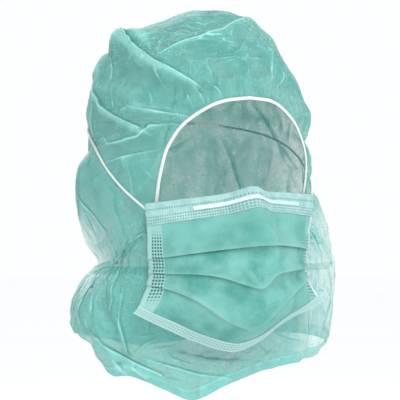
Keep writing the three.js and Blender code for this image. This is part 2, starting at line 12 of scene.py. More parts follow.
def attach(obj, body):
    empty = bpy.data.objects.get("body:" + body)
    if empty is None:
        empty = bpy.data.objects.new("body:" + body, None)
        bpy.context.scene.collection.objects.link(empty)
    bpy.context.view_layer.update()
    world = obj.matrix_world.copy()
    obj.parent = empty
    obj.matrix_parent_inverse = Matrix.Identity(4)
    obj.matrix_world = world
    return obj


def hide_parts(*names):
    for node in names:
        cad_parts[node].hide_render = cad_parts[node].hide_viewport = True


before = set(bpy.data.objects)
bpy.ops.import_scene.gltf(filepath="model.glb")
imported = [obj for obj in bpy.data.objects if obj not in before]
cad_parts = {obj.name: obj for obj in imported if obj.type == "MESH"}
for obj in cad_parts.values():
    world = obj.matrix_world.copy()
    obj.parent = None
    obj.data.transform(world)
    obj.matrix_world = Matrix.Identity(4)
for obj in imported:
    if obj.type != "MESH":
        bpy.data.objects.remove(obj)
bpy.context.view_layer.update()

bl_info = {
    "name": "Astronaut Hood with Mask",
    "version": (1, 0, 0),
    "blender": (4, 5, 0),
    "location": "3D View > Sidebar > Hood",
    "description": "Builds the cloth, elastics and mask of a disposable surgical hood around its frame",
    "category": "Add Mesh",
}

MM = 0.001

# Driving sizes of the form, in millimetres
DOME = 90  # from the top of the head down to the level where the crown is widest
DOME_LEAN = (4, -10)
DOME_RISE = 0.6
EDGE_PULL = 45  # how far the face elastic draws the cloth around it
PULL_REACH = 9
LAP = 5  # how far the crown's lower edge runs down inside the cape
LAP_STAND = 1.9  # how far the cape's upper edge stands out over the crown
LAP_FADE = 28
FRONT_SPREAD = 80  # crown threads that end at the opening leave the top within this angle of the face
CROWN_TURN = 2.5
HEM_SPREAD = (-82, 64)  # cape threads that leave the opening reach the hem between these angles
HEM_TURN = 4
CAPE_THREADS = 52
FRONT_PART = 24 / CAPE_THREADS  # the share of the cape's threads that start at the opening
CHEEK_THREADS = 4  # the lap and the turn change over this many threads from a cheek
EDGE_BEYOND = 1.2  # the cloth's raw edge shows this far inside the face elastic
EDGE_FADE = 8  # the cape's cloth is back on its form this far below the face elastic
EDGE_POINTS = 361  # along each piece's edge at the opening
NORMAL_STEP = 0.5  # over which the plain form's outward directions are found
FOLDED_STEP = 1.5  # the same, with the broad folds
PANEL_LENGTH = 153
PANEL_DROP = 1.4
PANEL_ROLL = 3.4
PANEL_LIFT = {"across": 0.6, "reach": 0.24, "rise": 6.5}  # the bottom edge is drawn up on the left cheek
PLEAT_RUN = 13
TUCK_BACK = 9  # how far each pleat is folded back under the cloth above it
TOP_BINDING = 17
BOTTOM_BINDING = 11


def table(columns, *rows):
    """A table as one array of values for each named column."""
    return {name: np.array([row[i] for row in rows], float) for i, name in enumerate(columns.split())}


# Level sections of the hood: how far its cloth stands from the head's axis on each side of the wearer.
LEVELS = table(
    "height right left front_right front_left back",
    (-90, 82, 83, 88, 88, 98),
    (-105, 84, 85, 88, 88, 99),
    (-120, 89, 86, 86, 86, 99),
    (-135, 91, 90, 81, 79, 98),
    (-150, 90, 99, 75, 68, 96),
    (-165, 87, 107, 72, 60, 93),
    (-180, 82, 112, 71, 55, 90),
    (-194, 77, 114, 69, 52, 88),
    (-207, 87, 115, 62, 52, 94),
    (-222, 93, 115, 55, 55, 100),
    (-235, 95, 114, 52, 52, 102),
    (-248, 92, 112, 47, 47, 101),
    (-262, 87, 104, 43, 43, 99),
    (-278, 79, 93, 46, 46, 97),
    (-296, 72, 81, 54, 54, 95),
)

# The face opening's edge, from the middle of the forehead down to the chin.
OPENING = table(
    "row height half_width forward",
    (0, -67, 0, 87),
    (1, -69.5, 20, 84),
    (2, -76, 34, 77.5),
    (3, -86, 46.5, 71.5),
    (4, -95, 53, 68),
    (5, -108, 59, 65),
    (6, -125, 62, 60.5),
    (7, -145, 62, 54),
    (8, -165, 61, 50),
    (9, -188, 60, 48),
    (10, -201, 56, 53),
    (11, -211, 45, 61),
    (12, -218, 25, 73),
    (13, -221, 0, 80),
)
CHEEK = 8  # the row of OPENING where the crown ends and the cape begins
CHIN = 13

# The lap of cape over crown, from a cheek round to the middle of the nape, the same on both sides.
LAP_LINE = table(
    "angle height",
    (54, -165),
    (62, -170),
    (72, -178),
    (84, -188),
    (104, -194),
    (130, -196),
    (180, -197),
)

# The cape's hem all the way round. Angles run from the face, positive on the wearer's left.
HEM = table(
    "angle height",
    (-180, -258),
    (-150, -250),
    (-118, -246),
    (-97, -250),
    (-88, -262),
    (-76, -276),
    (-58, -277),
    (-42, -286),
    (-24, -295),
    (0, -285),
    (20, -275),
    (45, -268),
    (62, -263),
    (90, -252),
    (120, -248),
    (150, -252),
    (180, -258),
)

# Folds and puffs of the cloth: a line of places, how far the cloth stands out there and how wide.
FOLD_LINES = {
    "crown_corner": ((-108, -25, 6.5, 11), (-95, -22, 10, 10), (-80, -21, 6, 9)),
    "crown_tuck": (
        (-104, -27, 4, 9),
        (-76, -34, 1.2, 8),
        (-60, -41, 0.8, 8),
        (-46, -48, 0.6, 7),
        (-32, -56, 0.2, 6),
    ),
    "under_tuck": ((-84, -45, -3, 10), (-58, -54, -3, 9), (-42, -60, -1, 8)),
    "crown_ridge": (
        (-56, -34, 1, 7),
        (-34, -22, 3, 8),
        (-8, -15, 3, 9),
        (20, -10, 3.2, 9),
        (52, -10, 2.5, 10),
        (80, -30, 0.5, 9),
    ),
    "top_slope": ((-72, -10, -1, 13), (-117, -6, -1.8, 15), (-162, -9, -1.5, 14)),
    "left_shoulder": (
        (30, -12, -1, 12),
        (52, -19, -5, 15),
        (62, -34, -5.5, 17),
        (64, -60, -3, 15),
    ),
    "right_shoulder": ((-112, -58, -4, 15), (-112, -84, -2, 15)),
    "under_cord": ((-96, -106, -2, 10), (-117, -106, -5, 12), (-136, -104, -3, 12)),
    "back_corner": ((-122, -40, 6, 10), (-112, -50, 7, 9), (-100, -62, 3, 8)),
    "back_fold": ((-98, -64, 1.5, 7), (-86, -74, 1.5, 7), (-72, -82, 1.2, 7), (-57, -91, 0.5, 6)),
    "ray_high": ((-76, -71, 0.5, 6), (-56, -76, 2, 6), (-36, -80, 1, 5)),
    "ray_middle": ((-88, -104, 0.5, 7), (-70, -99, 2.5, 7), (-52, -88, 1, 5)),
    "ray_low": ((-80, -117, 0.5, 7), (-66, -113, 2.5, 7), (-50, -107, 1, 5)),
    "brow_left_a": ((34, -26, 0.5, 6), (21, -45, 2.5, 6), (14, -63, 1, 5)),
    "brow_left_b": ((40, -36, 0.5, 6), (31, -50, 2.5, 6), (23, -66, 1, 5)),
    "temple_left": ((80, -62, 0.5, 8), (64, -78, 3, 8), (48, -94, 1, 6)),
    "left_tuck": ((128, -20, 2, 10), (108, -34, 5, 10), (92, -52, 4, 9), (80, -72, 1, 8)),
    "back_left_corner": ((142, -26, 7, 11), (128, -36, 6, 11), (116, -50, 2, 9)),
    "back_seam": ((-178, -22, 1, 9), (176, -60, 3.5, 9), (180, -110, 3, 10), (-178, -160, 1, 9)),
    "back_right_hang": ((-150, -60, 1, 9), (-146, -110, 3, 10), (-152, -170, 1, 9)),
    "back_left_hang": ((146, -70, 1, 9), (142, -120, 3.5, 10), (150, -175, 1, 9)),
    "ear_right": ((-100, -128, 3, 14), (-97, -146, 4, 14)),
    "ear_left": ((98, -128, 3, 14), (96, -146, 4, 14)),
    "nape_gather": (
        (-88, -190, -1, 14),
        (-116, -196, -4, 14),
        (-150, -199, -4, 15),
        (180, -200, -4, 15),
        (150, -199, -3, 15),
        (116, -196, -2, 14),
    ),
    "cape_right_puff": ((-110, -222, 3, 12), (-92, -226, 3, 12)),
    "cape_right_crease": ((-78, -212, -1, 7), (-68, -236, -5, 8), (-58, -262, -2, 7)),
    "cape_chin_sag": ((-44, -272, 2, 9), (-10, -276, 3, 10), (24, -266, 2, 9)),
    "cape_left_crease": ((44, -222, -1, 7), (46, -240, -4, 7), (52, -258, -1, 7)),
    "cape_left_puff": ((46, -164, 1, 9), (50, -186, 4, 10), (52, -210, 2, 9)),
    "hem_flap": ((-84, -262, 2, 8), (-66, -272, 5, 8), (-52, -274, 2, 8)),
    "hem_back_wave": ((-150, -226, 4, 12), (180, -236, -4, 14), (150, -226, 4, 12)),
}
FOLDS = [table("angle height rise width", *line) for line in FOLD_LINES.values()]

END_SHARE = 0.35  # how strong a crease still is at its two ends


def crease(columns, rise, width, double, *places):
    """A sharp crease along a line of places, two named values each; it fades out at both ends."""
    share = np.ones(len(places))
    share[[0, -1]] = END_SHARE
    rows = table(columns, *places)
    rows["rise"] = rise * share
    rows["width"] = width * np.ones(len(places))
    rows["double"] = double * share
    return rows


# Creases: sharper lines. A step is one-sided, with its edge on the upper side of a line that runs to the
# wearer's left. double is how much the cloth lies doubled there, which makes it denser.
STEP_LINES = {
    "tuck": (
        (-122, -19, 1.6, 7, 0.9),
        (-104, -21, 2.2, 8, 0.9),
        (-76, -29, 2.2, 7, 0.9),
        (-58, -37, 2.0, 6, 0.9),
        (-45, -43, 1.6, 5, 0.9),
        (-35, -50, 1.0, 4, 0.8),
        (-28, -56, 0.4, 3, 0.3),
    ),
    "lap_shadow": (
        (-98, -64, 1.6, 6, 0.5),
        (-87, -74, 2.0, 6, 0.7),
        (-78, -79, 2.0, 6, 0.7),
        (-61, -88, 1.4, 6, 0.6),
        (-56, -92, 0.6, 5, 0.3),
    ),
    "flap": (
        (-80, -251, 1.2, 6, 0.5),
        (-66, -260, 2.4, 7, 0.9),
        (-52, -268, 2.4, 7, 0.9),
        (-38, -277, 1.2, 6, 0.5),
    ),
}
STEPS = [table("angle height rise width double", *line) for line in STEP_LINES.values()]

# Each ridge: how far it stands out, how wide it is, how much it lies doubled, and its places
RIDGE_LINES = {
    "ridge": (
        1.7, 3, 0.83, (-56, -33), (-46, -27), (-30, -21), (-10, -16), (8, -11), (41, -9), (66, -16)
    ),
    "ridge_branch": (1, 2.3, 0.5, (-56, -33), (-63, -22), (-65, -10)),
    "tuck_low": (1.2, 2.3, 0.5, (-115, -25), (-88, -27), (-67, -33), (-56, -39)),
    "below_tuck": (1, 1.7, 0.6, (-58, -38), (-55, -45), (-51, -53)),
    "corner_upright": (1.2, 2, 0.8, (-106, -35), (-96, -43), (-91, -51)),
    "back_fold": (
        1.3, 1.9, 0.92, (-119, -42), (-112, -53), (-98, -64), (-87, -74), (-78, -79), (-61, -88), (-54, -93)
    ),
    "ray_high": (1.1, 2, 0.9, (-75, -71), (-50, -77), (-33, -81)),
    "ray_middle": (1.1, 2, 0.75, (-88, -104), (-74, -100), (-61, -95), (-54, -87), (-39, -87)),
    "ray_low": (1, 2, 0.8, (-80, -117), (-66, -113), (-50, -106)),
    "top_a": (0.9, 1.6, 0.4, (-97, -21), (-82, -12), (-58, -7), (1, -5)),
    "top_b": (0.9, 1.6, 0.5, (-94, -18), (-79, -11), (-29, -8), (15, -4)),
    "top_c": (0.9, 1.6, 0.5, (-62, -16), (-38, -15), (-14, -14)),
    "top_d": (0.9, 1.6, 0.4, (-70, -25), (-58, -21), (-38, -18), (-16, -17)),
    "brow_left_a": (1.1, 2, 0.7, (30, -28), (19, -45), (14, -64)),
    "brow_left_b": (1.2, 2.1, 0.6, (36, -34), (29, -49), (21, -64)),
    "temple_left": (1, 2, 0.5, (28, -62), (33, -76), (40, -92)),
    "forehead_a": (0.8, 1.6, 0.5, (-32, -54), (-27, -64), (-25, -70)),
    "forehead_b": (0.9, 1.6, 0.5, (-24, -52), (-18, -60), (-15, -66)),
    "nape_right_a": (1, 2, 0.7, (-101, -74), (-99, -88), (-95, -106)),
    "nape_right_b": (1, 2, 0.7, (-112, -66), (-107, -84), (-102, -98)),
    "nape_right_c": (1, 2, 0.9, (-99, -139), (-91, -150), (-84, -161), (-79, -176)),
    "nape_right_d": (1, 2, 0.6, (-94, -149), (-94, -166), (-92, -184)),
    "cape_right_a": (1.6, 2.5, 0.6, (-73, -178), (-82, -190), (-79, -205), (-69, -224)),
    "cape_right_b": (1.2, 2.3, 0.6, (-65, -174), (-76, -192), (-69, -212), (-60, -236)),
    "cape_right_c": (1.6, 2.5, 0.9, (-95, -195), (-92, -207), (-91, -224), (-94, -240)),
    "cape_right_d": (1.4, 2.4, 0.6, (-85, -213), (-82, -228), (-80, -244)),
    "cape_right_e": (1.3, 2.4, 0.6, (-60, -226), (-58, -245), (-55, -262)),
    "cape_left_a": (1.2, 2.2, 0.6, (40, -157), (46, -166), (56, -178)),
    "cape_left_b": (1.4, 2.2, 0.8, (39, -161), (44, -176), (50, -196)),
    "cape_left_c": (1.2, 2.2, 0.6, (34, -211), (42, -216), (54, -220)),
    "cape_left_d": (1.4, 2.2, 0.8, (42, -224), (45, -238), (50, -258)),
    "left_high": (1, 2.2, 0.5, (52, -112), (62, -128), (66, -150)),
    "corner_fold": (1.2, 2.6, 0.7, (-61, -212), (-58, -238), (-56, -260), (-48, -278)),
    "side_fold": (1.2, 2.6, 0.6, (-80, -194), (-74, -214), (-70, -245)),
    "bulge_fold": (1.2, 2.4, 1, (-99, -199), (-108, -211), (-107, -230)),
    "hem_fold": (1.2, 2.4, 0.7, (-46, -264), (-31, -271), (-15, -278), (3, -281)),
    "flap_crease_a": (1.2, 2.2, 0.9, (-60, -264), (-54, -272), (-46, -280)),
    "flap_crease_b": (1.2, 2.2, 0.8, (-70, -262), (-64, -270), (-60, -276)),
    "chin_a": (1.2, 2.2, 0.5, (-30, -258), (-10, -266), (14, -268)),
    "chin_b": (1, 2.2, 0.4, (-16, -250), (4, -258), (24, -258)),
    "chin_c": (1, 2.2, 0.4, (20, -246), (33, -252), (50, -255)),
    "left_side_a": (1.4, 2.3, 0.7, (96, -40), (84, -62), (70, -90)),
    "left_side_b": (1.3, 2.3, 0.6, (118, -70), (104, -96), (92, -120)),
    "left_side_c": (1.2, 2.3, 0.6, (76, -104), (88, -132), (84, -160)),
    "left_side_d": (1.4, 2.3, 0.7, (100, -128), (108, -152), (100, -184)),
    "back_a": (1.4, 2.3, 0.7, (-128, -34), (-146, -52), (-158, -80)),
    "back_b": (1.4, 2.4, 0.7, (166, -30), (160, -66), (166, -104)),
    "back_c": (1.4, 2.4, 0.6, (-170, -118), (-166, -146), (-172, -186)),
    "back_d": (1.4, 2.4, 0.6, (136, -96), (128, -132), (134, -180)),
    "back_e": (1.4, 2.4, 0.6, (-134, -100), (-126, -132), (-132, -176)),
    "cape_back_a": (1.8, 2.7, 0.8, (120, -204), (126, -222), (122, -244)),
    "cape_back_b": (1.8, 2.7, 0.8, (152, -206), (146, -226), (152, -248)),
    "cape_back_c": (1.8, 2.7, 0.8, (-172, -208), (-168, -230), (-174, -252)),
    "cape_back_d": (1.8, 2.7, 0.8, (-140, -206), (-146, -224), (-138, -246)),
    "cape_back_e": (1.6, 2.7, 0.7, (92, -200), (86, -220), (94, -244)),
}
RIDGES = [crease("angle height", *line) for line in RIDGE_LINES.values()]

# Where the cloth is denser or thinner than elsewhere, over what reach
DENSITY = table(
    "angle height reach amount",
    (62, -205, 42, -0.58),
    (88, -165, 36, -0.48),
    (112, -215, 34, -0.42),
    (50, -246, 24, -0.3),
    (-116, -180, 32, -0.85),
    (-142, -185, 40, -0.75),
    (-140, -240, 34, -0.5),
    (-98, -212, 16, -0.3),
    (-92, -262, 22, -0.3),
    (-15, -272, 34, 0.6),
    (28, -262, 30, 0.5),
    (-55, -262, 26, 0.6),
    (-78, -240, 20, 0.5),
    (-50, -225, 24, 0.5),
    (-60, -45, 50, 0.1),
)
STEP_EDGE = 1.1  # how quickly a step drops on its upper side
STEP_GROOVE = {"away": 2.8, "reach": 1.5, "depth": 0.4}  # the shallow groove above a step's edge, in mm
RIDGE_RISE = 0.6  # how far a ridge whose rise is 1 stands out, in mm
RIDGE_DOUBLE = 0.3  # how dense the cloth beside a ridge's own edge is
EDGE_REACH = 6.0  # how far from a crease its own line is known
SEED = 3

# Fine creases strewn over a part of the hood. slope is how steeply they run down to the wearer's left, and
# stray is how far they vary from it.
STREWN = table(
    "angle height reach count slope stray length double",
    (-60, -8, 34, 9, -12, 14, 46, 0.6),
    (10, -9, 30, 8, -10, 12, 40, 0.6),
    (-30, -50, 26, 6, 62, 22, 26, 0.4),
    (25, -40, 30, 9, 100, 20, 34, 0.5),
    (-82, -80, 34, 10, 12, 40, 34, 0.5),
    (-75, -130, 34, 7, 70, 40, 34, 0.3),
    (-112, -170, 30, 12, 60, 60, 24, 0.6),
    (-85, -225, 34, 12, 75, 50, 28, 0.6),
    (-40, -268, 34, 9, -8, 24, 44, 0.5),
    (20, -262, 30, 9, 10, 30, 36, 0.6),
    (62, -150, 30, 12, 70, 60, 22, 0.7),
    (62, -215, 40, 18, 75, 60, 24, 0.7),
    (95, -70, 50, 12, 70, 40, 44, 0.5),
    (110, -190, 60, 18, 80, 50, 32, 0.6),
    (180, -60, 60, 10, 80, 40, 50, 0.4),
    (180, -150, 70, 12, 85, 40, 44, 0.5),
    (180, -230, 70, 16, 85, 40, 30, 0.6),
)

# The mask's panel from its top edge to its bottom edge. down is the cloth's own length on the middle line.
PANEL = table(
    "down cheek nose nose_width side_x side_y height nose_up side_height bow",
    (0, 83, 10, 12, 72, 54.7, -139, 4, -144.5, 2),
    (18, 88, 13, 14, 71, 55, -155, 3, -162, 2),
    (36, 94, 19, 17, 69.5, 53.5, -168, 2, -172, 2),
    (50, 99, 13, 22, 68, 52, -181, 1.5, -187, 2.1),
    (84, 100, 4, 24, 67, 51, -211, 0, -199, 2.2),
    (101, 98, 1, 24, 69, 51.5, -227, 0, -208, 2.3),
    (113, 93, 0, 24, 71.5, 52, -238, 0, -213, 2.4),
    (129, 81, 0, 24, 74.5, 53, -248, 0, -218, 2.6),
    (142, 70, 0, 24, 77, 53.5, -253.5, 0, -222, 2.6),
    (153, 61, 0, 24, 80.5, 51, -260.5, 0, -227, 2.6),
)
PLEATS = ((49, 1.6), (84, 1.8), (113, 0.9))  # down, and how far the lip stands out

# How far the worn panel is drawn up or down along its second and third pleats
DRAWN = {
    84: table(
        "across shift",
        (-1, -5),
        (-0.65, -9),
        (-0.42, -8),
        (-0.22, -4),
        (0, -0.5),
        (0.08, -1),
        (0.2, -8.5),
        (0.48, -8.5),
        (0.87, -2),
        (1, -1),
    ),
    113: table(
        "across shift",
        (-1, -15),
        (-0.8, -14),
        (-0.59, -9),
        (-0.39, -2),
        (-0.2, 3),
        (0.05, 5),
        (0.35, -6),
        (0.56, -12),
        (0.86, -14),
        (1, -14),
    ),
}
DRAWN_REACH = 18

# The head elastic from the mask's top corner up and round the back of the head, the same on both sides.
ELASTIC_LINE = table(
    "angle height",
    (65, -135),
    (76, -122),
    (88, -110),
    (104, -98),
    (124, -90),
    (150, -85),
    (180, -83.5),
)


# ---- The hood's form, as in its solids ----


def read(rows, key, place, column):
    """Smooth values of a table's column at places along its key column."""
    keys, values = rows[key], rows[column]
    place = np.asarray(place, float)
    if keys[0] > keys[-1]:
        keys, place = -keys, -place
    place = np.clip(place, keys[0], keys[-1])
    slopes = np.empty(len(keys))
    slopes[1:-1] = (values[2:] - values[:-2]) / (keys[2:] - keys[:-2])
    slopes[0] = (values[1] - values[0]) / (keys[1] - keys[0])
    slopes[-1] = (values[-1] - values[-2]) / (keys[-1] - keys[-2])
    after = np.clip(np.searchsorted(keys, place), 1, len(keys) - 1)
    width = keys[after] - keys[after - 1]
    t = (place - keys[after - 1]) / width
    start, end = values[after - 1], values[after]
    bend = slopes[after - 1] * t * (1 - t) ** 2 + slopes[after] * (t - 1) * t**2
    return start * (1 + 2 * t) * (1 - t) ** 2 + end * (3 - 2 * t) * t**2 + width * bend


def read_all(rows, key, place):
    """Smooth values of all of a table's other columns at places along its key column."""
    return {name: read(rows, key, place, name) for name in rows if name != key}


def smooth(value, low, high):
    """A part from 0 to 1 that eases in from low and out to high."""
    t = np.clip((np.asarray(value, float) - low) / (high - low), 0, 1)
    return t * t * (3 - 2 * t)


def mix(a, b, t):
    """A value that goes from a to b as t goes from 0 to 1."""
    return a + (b - a) * t


def wrapped(angle):
    """An angle from -180 to 180, the same way round as the given one."""
    return (angle + 180) % 360 - 180


def unit(vectors):
    """Vectors made one long."""
    return vectors / np.maximum(np.linalg.norm(vectors, axis=-1, keepdims=True), 1e-9)


def depth_of(height):
    """How far down the form a height lies: 0 at the top of the head and DOME at the widest level."""
    height = np.asarray(height, float)
    turn = np.arccos(np.clip(1 - (DOME_RISE - height) / (DOME + DOME_RISE), -1, 1))
    return np.where(height <= -DOME, -height, turn * DOME / (np.pi / 2))


def form_point(angle, depth):
    """The plain form of the hood, without its folds."""
    angle, depth = np.broadcast_arrays(np.asarray(angle, float), np.asarray(depth, float))
    over = np.minimum(depth / DOME, 1) * np.pi / 2
    reach = np.sin(over)
    level = np.minimum(-depth, -DOME)
    turn = np.radians(angle)
    on_right = np.sin(turn) < 0
    value = read_all(LEVELS, "height", level)
    side = np.where(on_right, value["right"], value["left"])
    front = np.where(on_right, value["front_right"], value["front_left"])
    ahead = np.where(np.cos(turn) > 0, front, value["back"])
    height = np.where(depth < DOME, DOME_RISE - (DOME + DOME_RISE) * (1 - np.cos(over)), -depth)
    x = reach * side * np.sin(turn) + DOME_LEAN[0] * (1 - reach)
    y = -reach * ahead * np.cos(turn) + DOME_LEAN[1] * (1 - reach)
    return np.stack([x, y, height], -1)


def surface_normal(surface, angle, depth, step):
    """Outward direction of a surface that is a function of angle and depth."""
    low = np.maximum(depth, 2)
    down = surface(angle, low + step) - surface(angle, low - step)
    round_it = surface(angle + step, low) - surface(angle - step, low)
    return unit(np.cross(down, round_it))


def on_form(angle, depth):
    """Places on the plain form, and the outward directions there."""
    return form_point(angle, depth), surface_normal(form_point, angle, depth, NORMAL_STEP)


def opening_place(row, sign):
    """Angle, depth and forward pull at places along the opening's edge, on one side."""
    depth = depth_of(read(OPENING, "row", row, "height"))
    side = np.abs(form_point(90.0 * sign, depth)[..., 0])
    angle = sign * np.degrees(np.arcsin(read(OPENING, "row", row, "half_width") / side))
    pull = -read(OPENING, "row", row, "forward") - form_point(angle, depth)[..., 1]
    return angle, depth, pull


def opening_sides(row, on_right):
    """Angle and depth at places along the opening's edge, on the wearer's right where on_right is true."""
    right = opening_place(row, -1)
    left = opening_place(row, 1)
    return [np.where(on_right, right[i], left[i]) for i in range(2)]


def opening_pulls():
    """Places all along the opening's edge on the plain form, and how far forward each of them is drawn."""
    rows = np.linspace(0, CHIN, 3 * CHIN + 1)
    sides = [opening_place(rows, sign) for sign in (-1, 1)]
    at = np.concatenate([form_point(*side[:2]) for side in sides])
    return at, np.concatenate([side[2] for side in sides])


PULL_AT, PULL = opening_pulls()


def edge_pull(points):
    """How far forward the face elastic draws the cloth at points of the plain form."""
    distance = np.linalg.norm(points[..., None, :] - PULL_AT, axis=-1)
    nearest = distance.min(-1)
    further = (distance**2 - nearest[..., None] ** 2) / PULL_REACH**2
    weight = np.exp(-further)
    mean = (weight * PULL).sum(-1) / weight.sum(-1)
    return mean * (1 - smooth(nearest, 0, EDGE_PULL))


def beside_line(points, rows, names, at=None, out=None):
    """Distance to a line of places in widths, in mm with a sign, and its named columns nearest there."""
    if at is None:
        at, out = on_form(rows["angle"], depth_of(rows["height"]))
    best = np.full(points.shape[:-1], np.inf)
    signed = np.zeros_like(best)
    found = {name: np.zeros_like(best) for name in names}
    for i in range(len(at) - 1):
        along = at[i + 1] - at[i]
        t = np.clip(((points - at[i]) @ along) / (along @ along), 0, 1)
        off = points - (at[i] + t[..., None] * along)
        distance = np.linalg.norm(off, axis=-1)
        scaled = distance / mix(rows["width"][i], rows["width"][i + 1], t)
        upper = np.cross(out[i] + out[i + 1], along)
        nearer = scaled < best
        best = np.where(nearer, scaled, best)
        signed = np.where(nearer, distance * np.sign(off @ upper), signed)
        for name in names:
            found[name] = np.where(nearer, mix(rows[name][i], rows[name][i + 1], t), found[name])
    return best, signed, found


def fold_rise(points):
    """How far the broad folds push the cloth out at points of the plain form."""
    rise = np.zeros(points.shape[:-1])
    for rows in FOLDS:
        best, _, found = beside_line(points, rows, ["rise"])
        rise += found["rise"] * np.exp(-(best**2))
    return rise


def strewn_creases():
    """Fine creases in chosen parts of the hood, as lines of three places each."""
    chance = np.random.default_rng(SEED)
    for i, count in enumerate(STREWN["count"].astype(int)):
        centre = depth_of(STREWN["height"][i])
        for _ in range(count):
            off = chance.normal(size=3) * (0.5, 0.5, 1)
            depth = max(centre + off[1] * STREWN["reach"][i], 6)
            round_size = DOME * math.sin(min(depth / DOME, 1) * math.pi / 2)
            slope = math.radians(STREWN["slope"][i] + off[2] * STREWN["stray"][i])
            half = STREWN["length"][i] * chance.uniform(0.25, 0.6)
            place = np.array([-1, chance.uniform(-0.2, 0.2), 1])
            bow = np.array([0, chance.normal() * 0.12, 0])
            level = math.cos(slope) * place - math.sin(slope) * bow
            drop = math.sin(slope) * place + math.cos(slope) * bow
            aside = off[0] * STREWN["reach"][i] + level * half
            angle = STREWN["angle"][i] + np.degrees(aside / round_size)
            double = STREWN["double"][i] * chance.uniform(0.4, 1.1)
            rows = {
                "rise": np.array([0.1, 1, 0.1]) * chance.uniform(0.2, 0.8),
                "width": np.full(3, 2.0),
                "double": np.array([0.1, 1, 0.1]) * double,
            }
            yield rows, *on_form(angle, depth + drop * half)


def stronger_line(away, mark, signed, double):
    """The distance to a crease's line and how strongly it shows, where that is more than what was known."""
    strength = double * (1 - smooth(np.abs(signed), EDGE_REACH / 2, EDGE_REACH))
    return np.where(strength > mark, signed, away), np.maximum(mark, strength)


def crease_rise(points):
    """How far the sharp creases push the cloth out, how much it lies doubled there, and their thin edges.

    An edge is the signed distance to the nearest crease's line in mm, and how strongly it shows.
    """
    rise = np.zeros(points.shape[:-1])
    double = np.zeros_like(rise)
    away = np.zeros_like(rise)
    mark = np.zeros_like(rise)
    for rows in STEPS:
        best, signed, found = beside_line(points, rows, ["rise", "double"])
        below = np.exp(-((best * 0.9) ** 2))
        beyond = (signed - STEP_GROOVE["away"]) / STEP_GROOVE["reach"]
        above = np.exp(-((signed / STEP_EDGE) ** 2)) - STEP_GROOVE["depth"] * np.exp(-(beyond**2))
        rise += found["rise"] * np.where(signed > 0, above, below)
        band = np.where(signed > 0, above, 0.55 - 0.55 * smooth(best, 0.3, 1.0))
        double = np.maximum(double, found["double"] * band)
        away, mark = stronger_line(away, mark, signed, found["double"])
    ridges = [(rows, *on_form(rows["angle"], depth_of(rows["height"]))) for rows in RIDGES]
    for rows, at, out in ridges + list(strewn_creases()):
        best, signed, found = beside_line(points, rows, ["rise", "double"], at, out)
        rise += RIDGE_RISE * found["rise"] * np.exp(-(best**2))
        double = np.maximum(double, RIDGE_DOUBLE * found["double"] * np.exp(-((best / 0.8) ** 2)))
        away, mark = stronger_line(away, mark, signed, found["double"])
    return rise, double, np.clip(away / EDGE_REACH, -1, 1) / 2 + 0.5, mark


def hood_point(angle, depth, out=0.0):
    """The inner face of the hood's cloth with its broad folds, and an extra distance that it stands out."""
    form, outwards = on_form(angle, depth)
    lift = fold_rise(form) + out
    point = form + outwards * lift[..., None]
    point[..., 1] += edge_pull(form)
    return point


def hood_normal(angle, depth):
    """Outward direction of the hood with its broad folds."""
    return surface_normal(hood_point, angle, depth, FOLDED_STEP)


def lap_place(part, drop, row):
    """Angle and depth along the lap. part runs from 0 at the left cheek round the nape to the right one."""
    left = opening_place(row, 1)[0]
    right = -opening_place(row, -1)[0]
    angle = mix(left, 360 - right, part)
    off = np.where(angle < 180, angle, 360 - angle)
    corner = np.where(angle < 180, left, right)
    start = LAP_LINE["angle"][0]
    eased = 180 - (180 - off) * (180 - start) / (180 - corner)
    return angle, depth_of(read(LAP_LINE, "angle", eased, "height") - drop)


def opening_edge(middle_row, cheek_row):
    """One piece's edge along the opening, from the right cheek to the left, and the way up off it."""
    along = np.linspace(0, 1, EDGE_POINTS)
    row = mix(middle_row, cheek_row, np.abs(along - 0.5) * 2)
    angle, depth = opening_sides(row, along < 0.5)
    run = unit(np.gradient(hood_point(angle, depth), axis=0))
    up = unit(np.cross(hood_normal(angle, depth), run))
    return {"along": along, "angle": angle, "depth": depth, "up": up}


def at_edge(edge, along, name):
    """One named value of an edge at places along it."""
    values = edge[name]
    if values.ndim == 1:
        return np.interp(along, edge["along"], values)
    return np.stack([np.interp(along, edge["along"], column) for column in values.T], -1)


CHEEK_DROP = LAP / (OPENING["height"][CHEEK] - OPENING["height"][CHEEK + 1])


def crown_layout(across, down):
    """The crown's own places for a square grid: direction from its top, and part of the way to its edge."""
    x, y = across * 2 - 1, 1 - down * 2
    x, y = x * np.sqrt(1 - y * y / 2), y * np.sqrt(1 - x * x / 2)
    start = np.degrees(np.arctan2(x, -y))
    start = np.where(start < -FRONT_SPREAD, start + 360, start)
    return start, np.minimum(np.hypot(x, y), 1)


def crown_points(start, t, stand):
    """Points of the crown's cloth, with the angle, depth and length of thread down to the edge of each."""
    edge = opening_edge(0, CHEEK + CHEEK_DROP)
    front = start <= FRONT_SPREAD
    along = np.clip((start + FRONT_SPREAD) / (2 * FRONT_SPREAD), 0, 1)
    part = np.clip((start - FRONT_SPREAD) / (360 - 2 * FRONT_SPREAD), 0, 1)
    lap = lap_place(part, LAP, CHEEK + CHEEK_DROP)
    end_angle = np.where(front, at_edge(edge, along, "angle"), lap[0])
    end_depth = np.where(front, at_edge(edge, along, "depth"), lap[1])
    angle = mix(start, end_angle, t**CROWN_TURN)
    points = hood_point(angle, end_depth * t, stand)
    inwards = -at_edge(edge, along, "up") * front[:, None]
    points += inwards * (EDGE_BEYOND * smooth(t, 0.9, 1))[:, None]
    return points, angle, end_depth * t, end_depth * (1 - t)


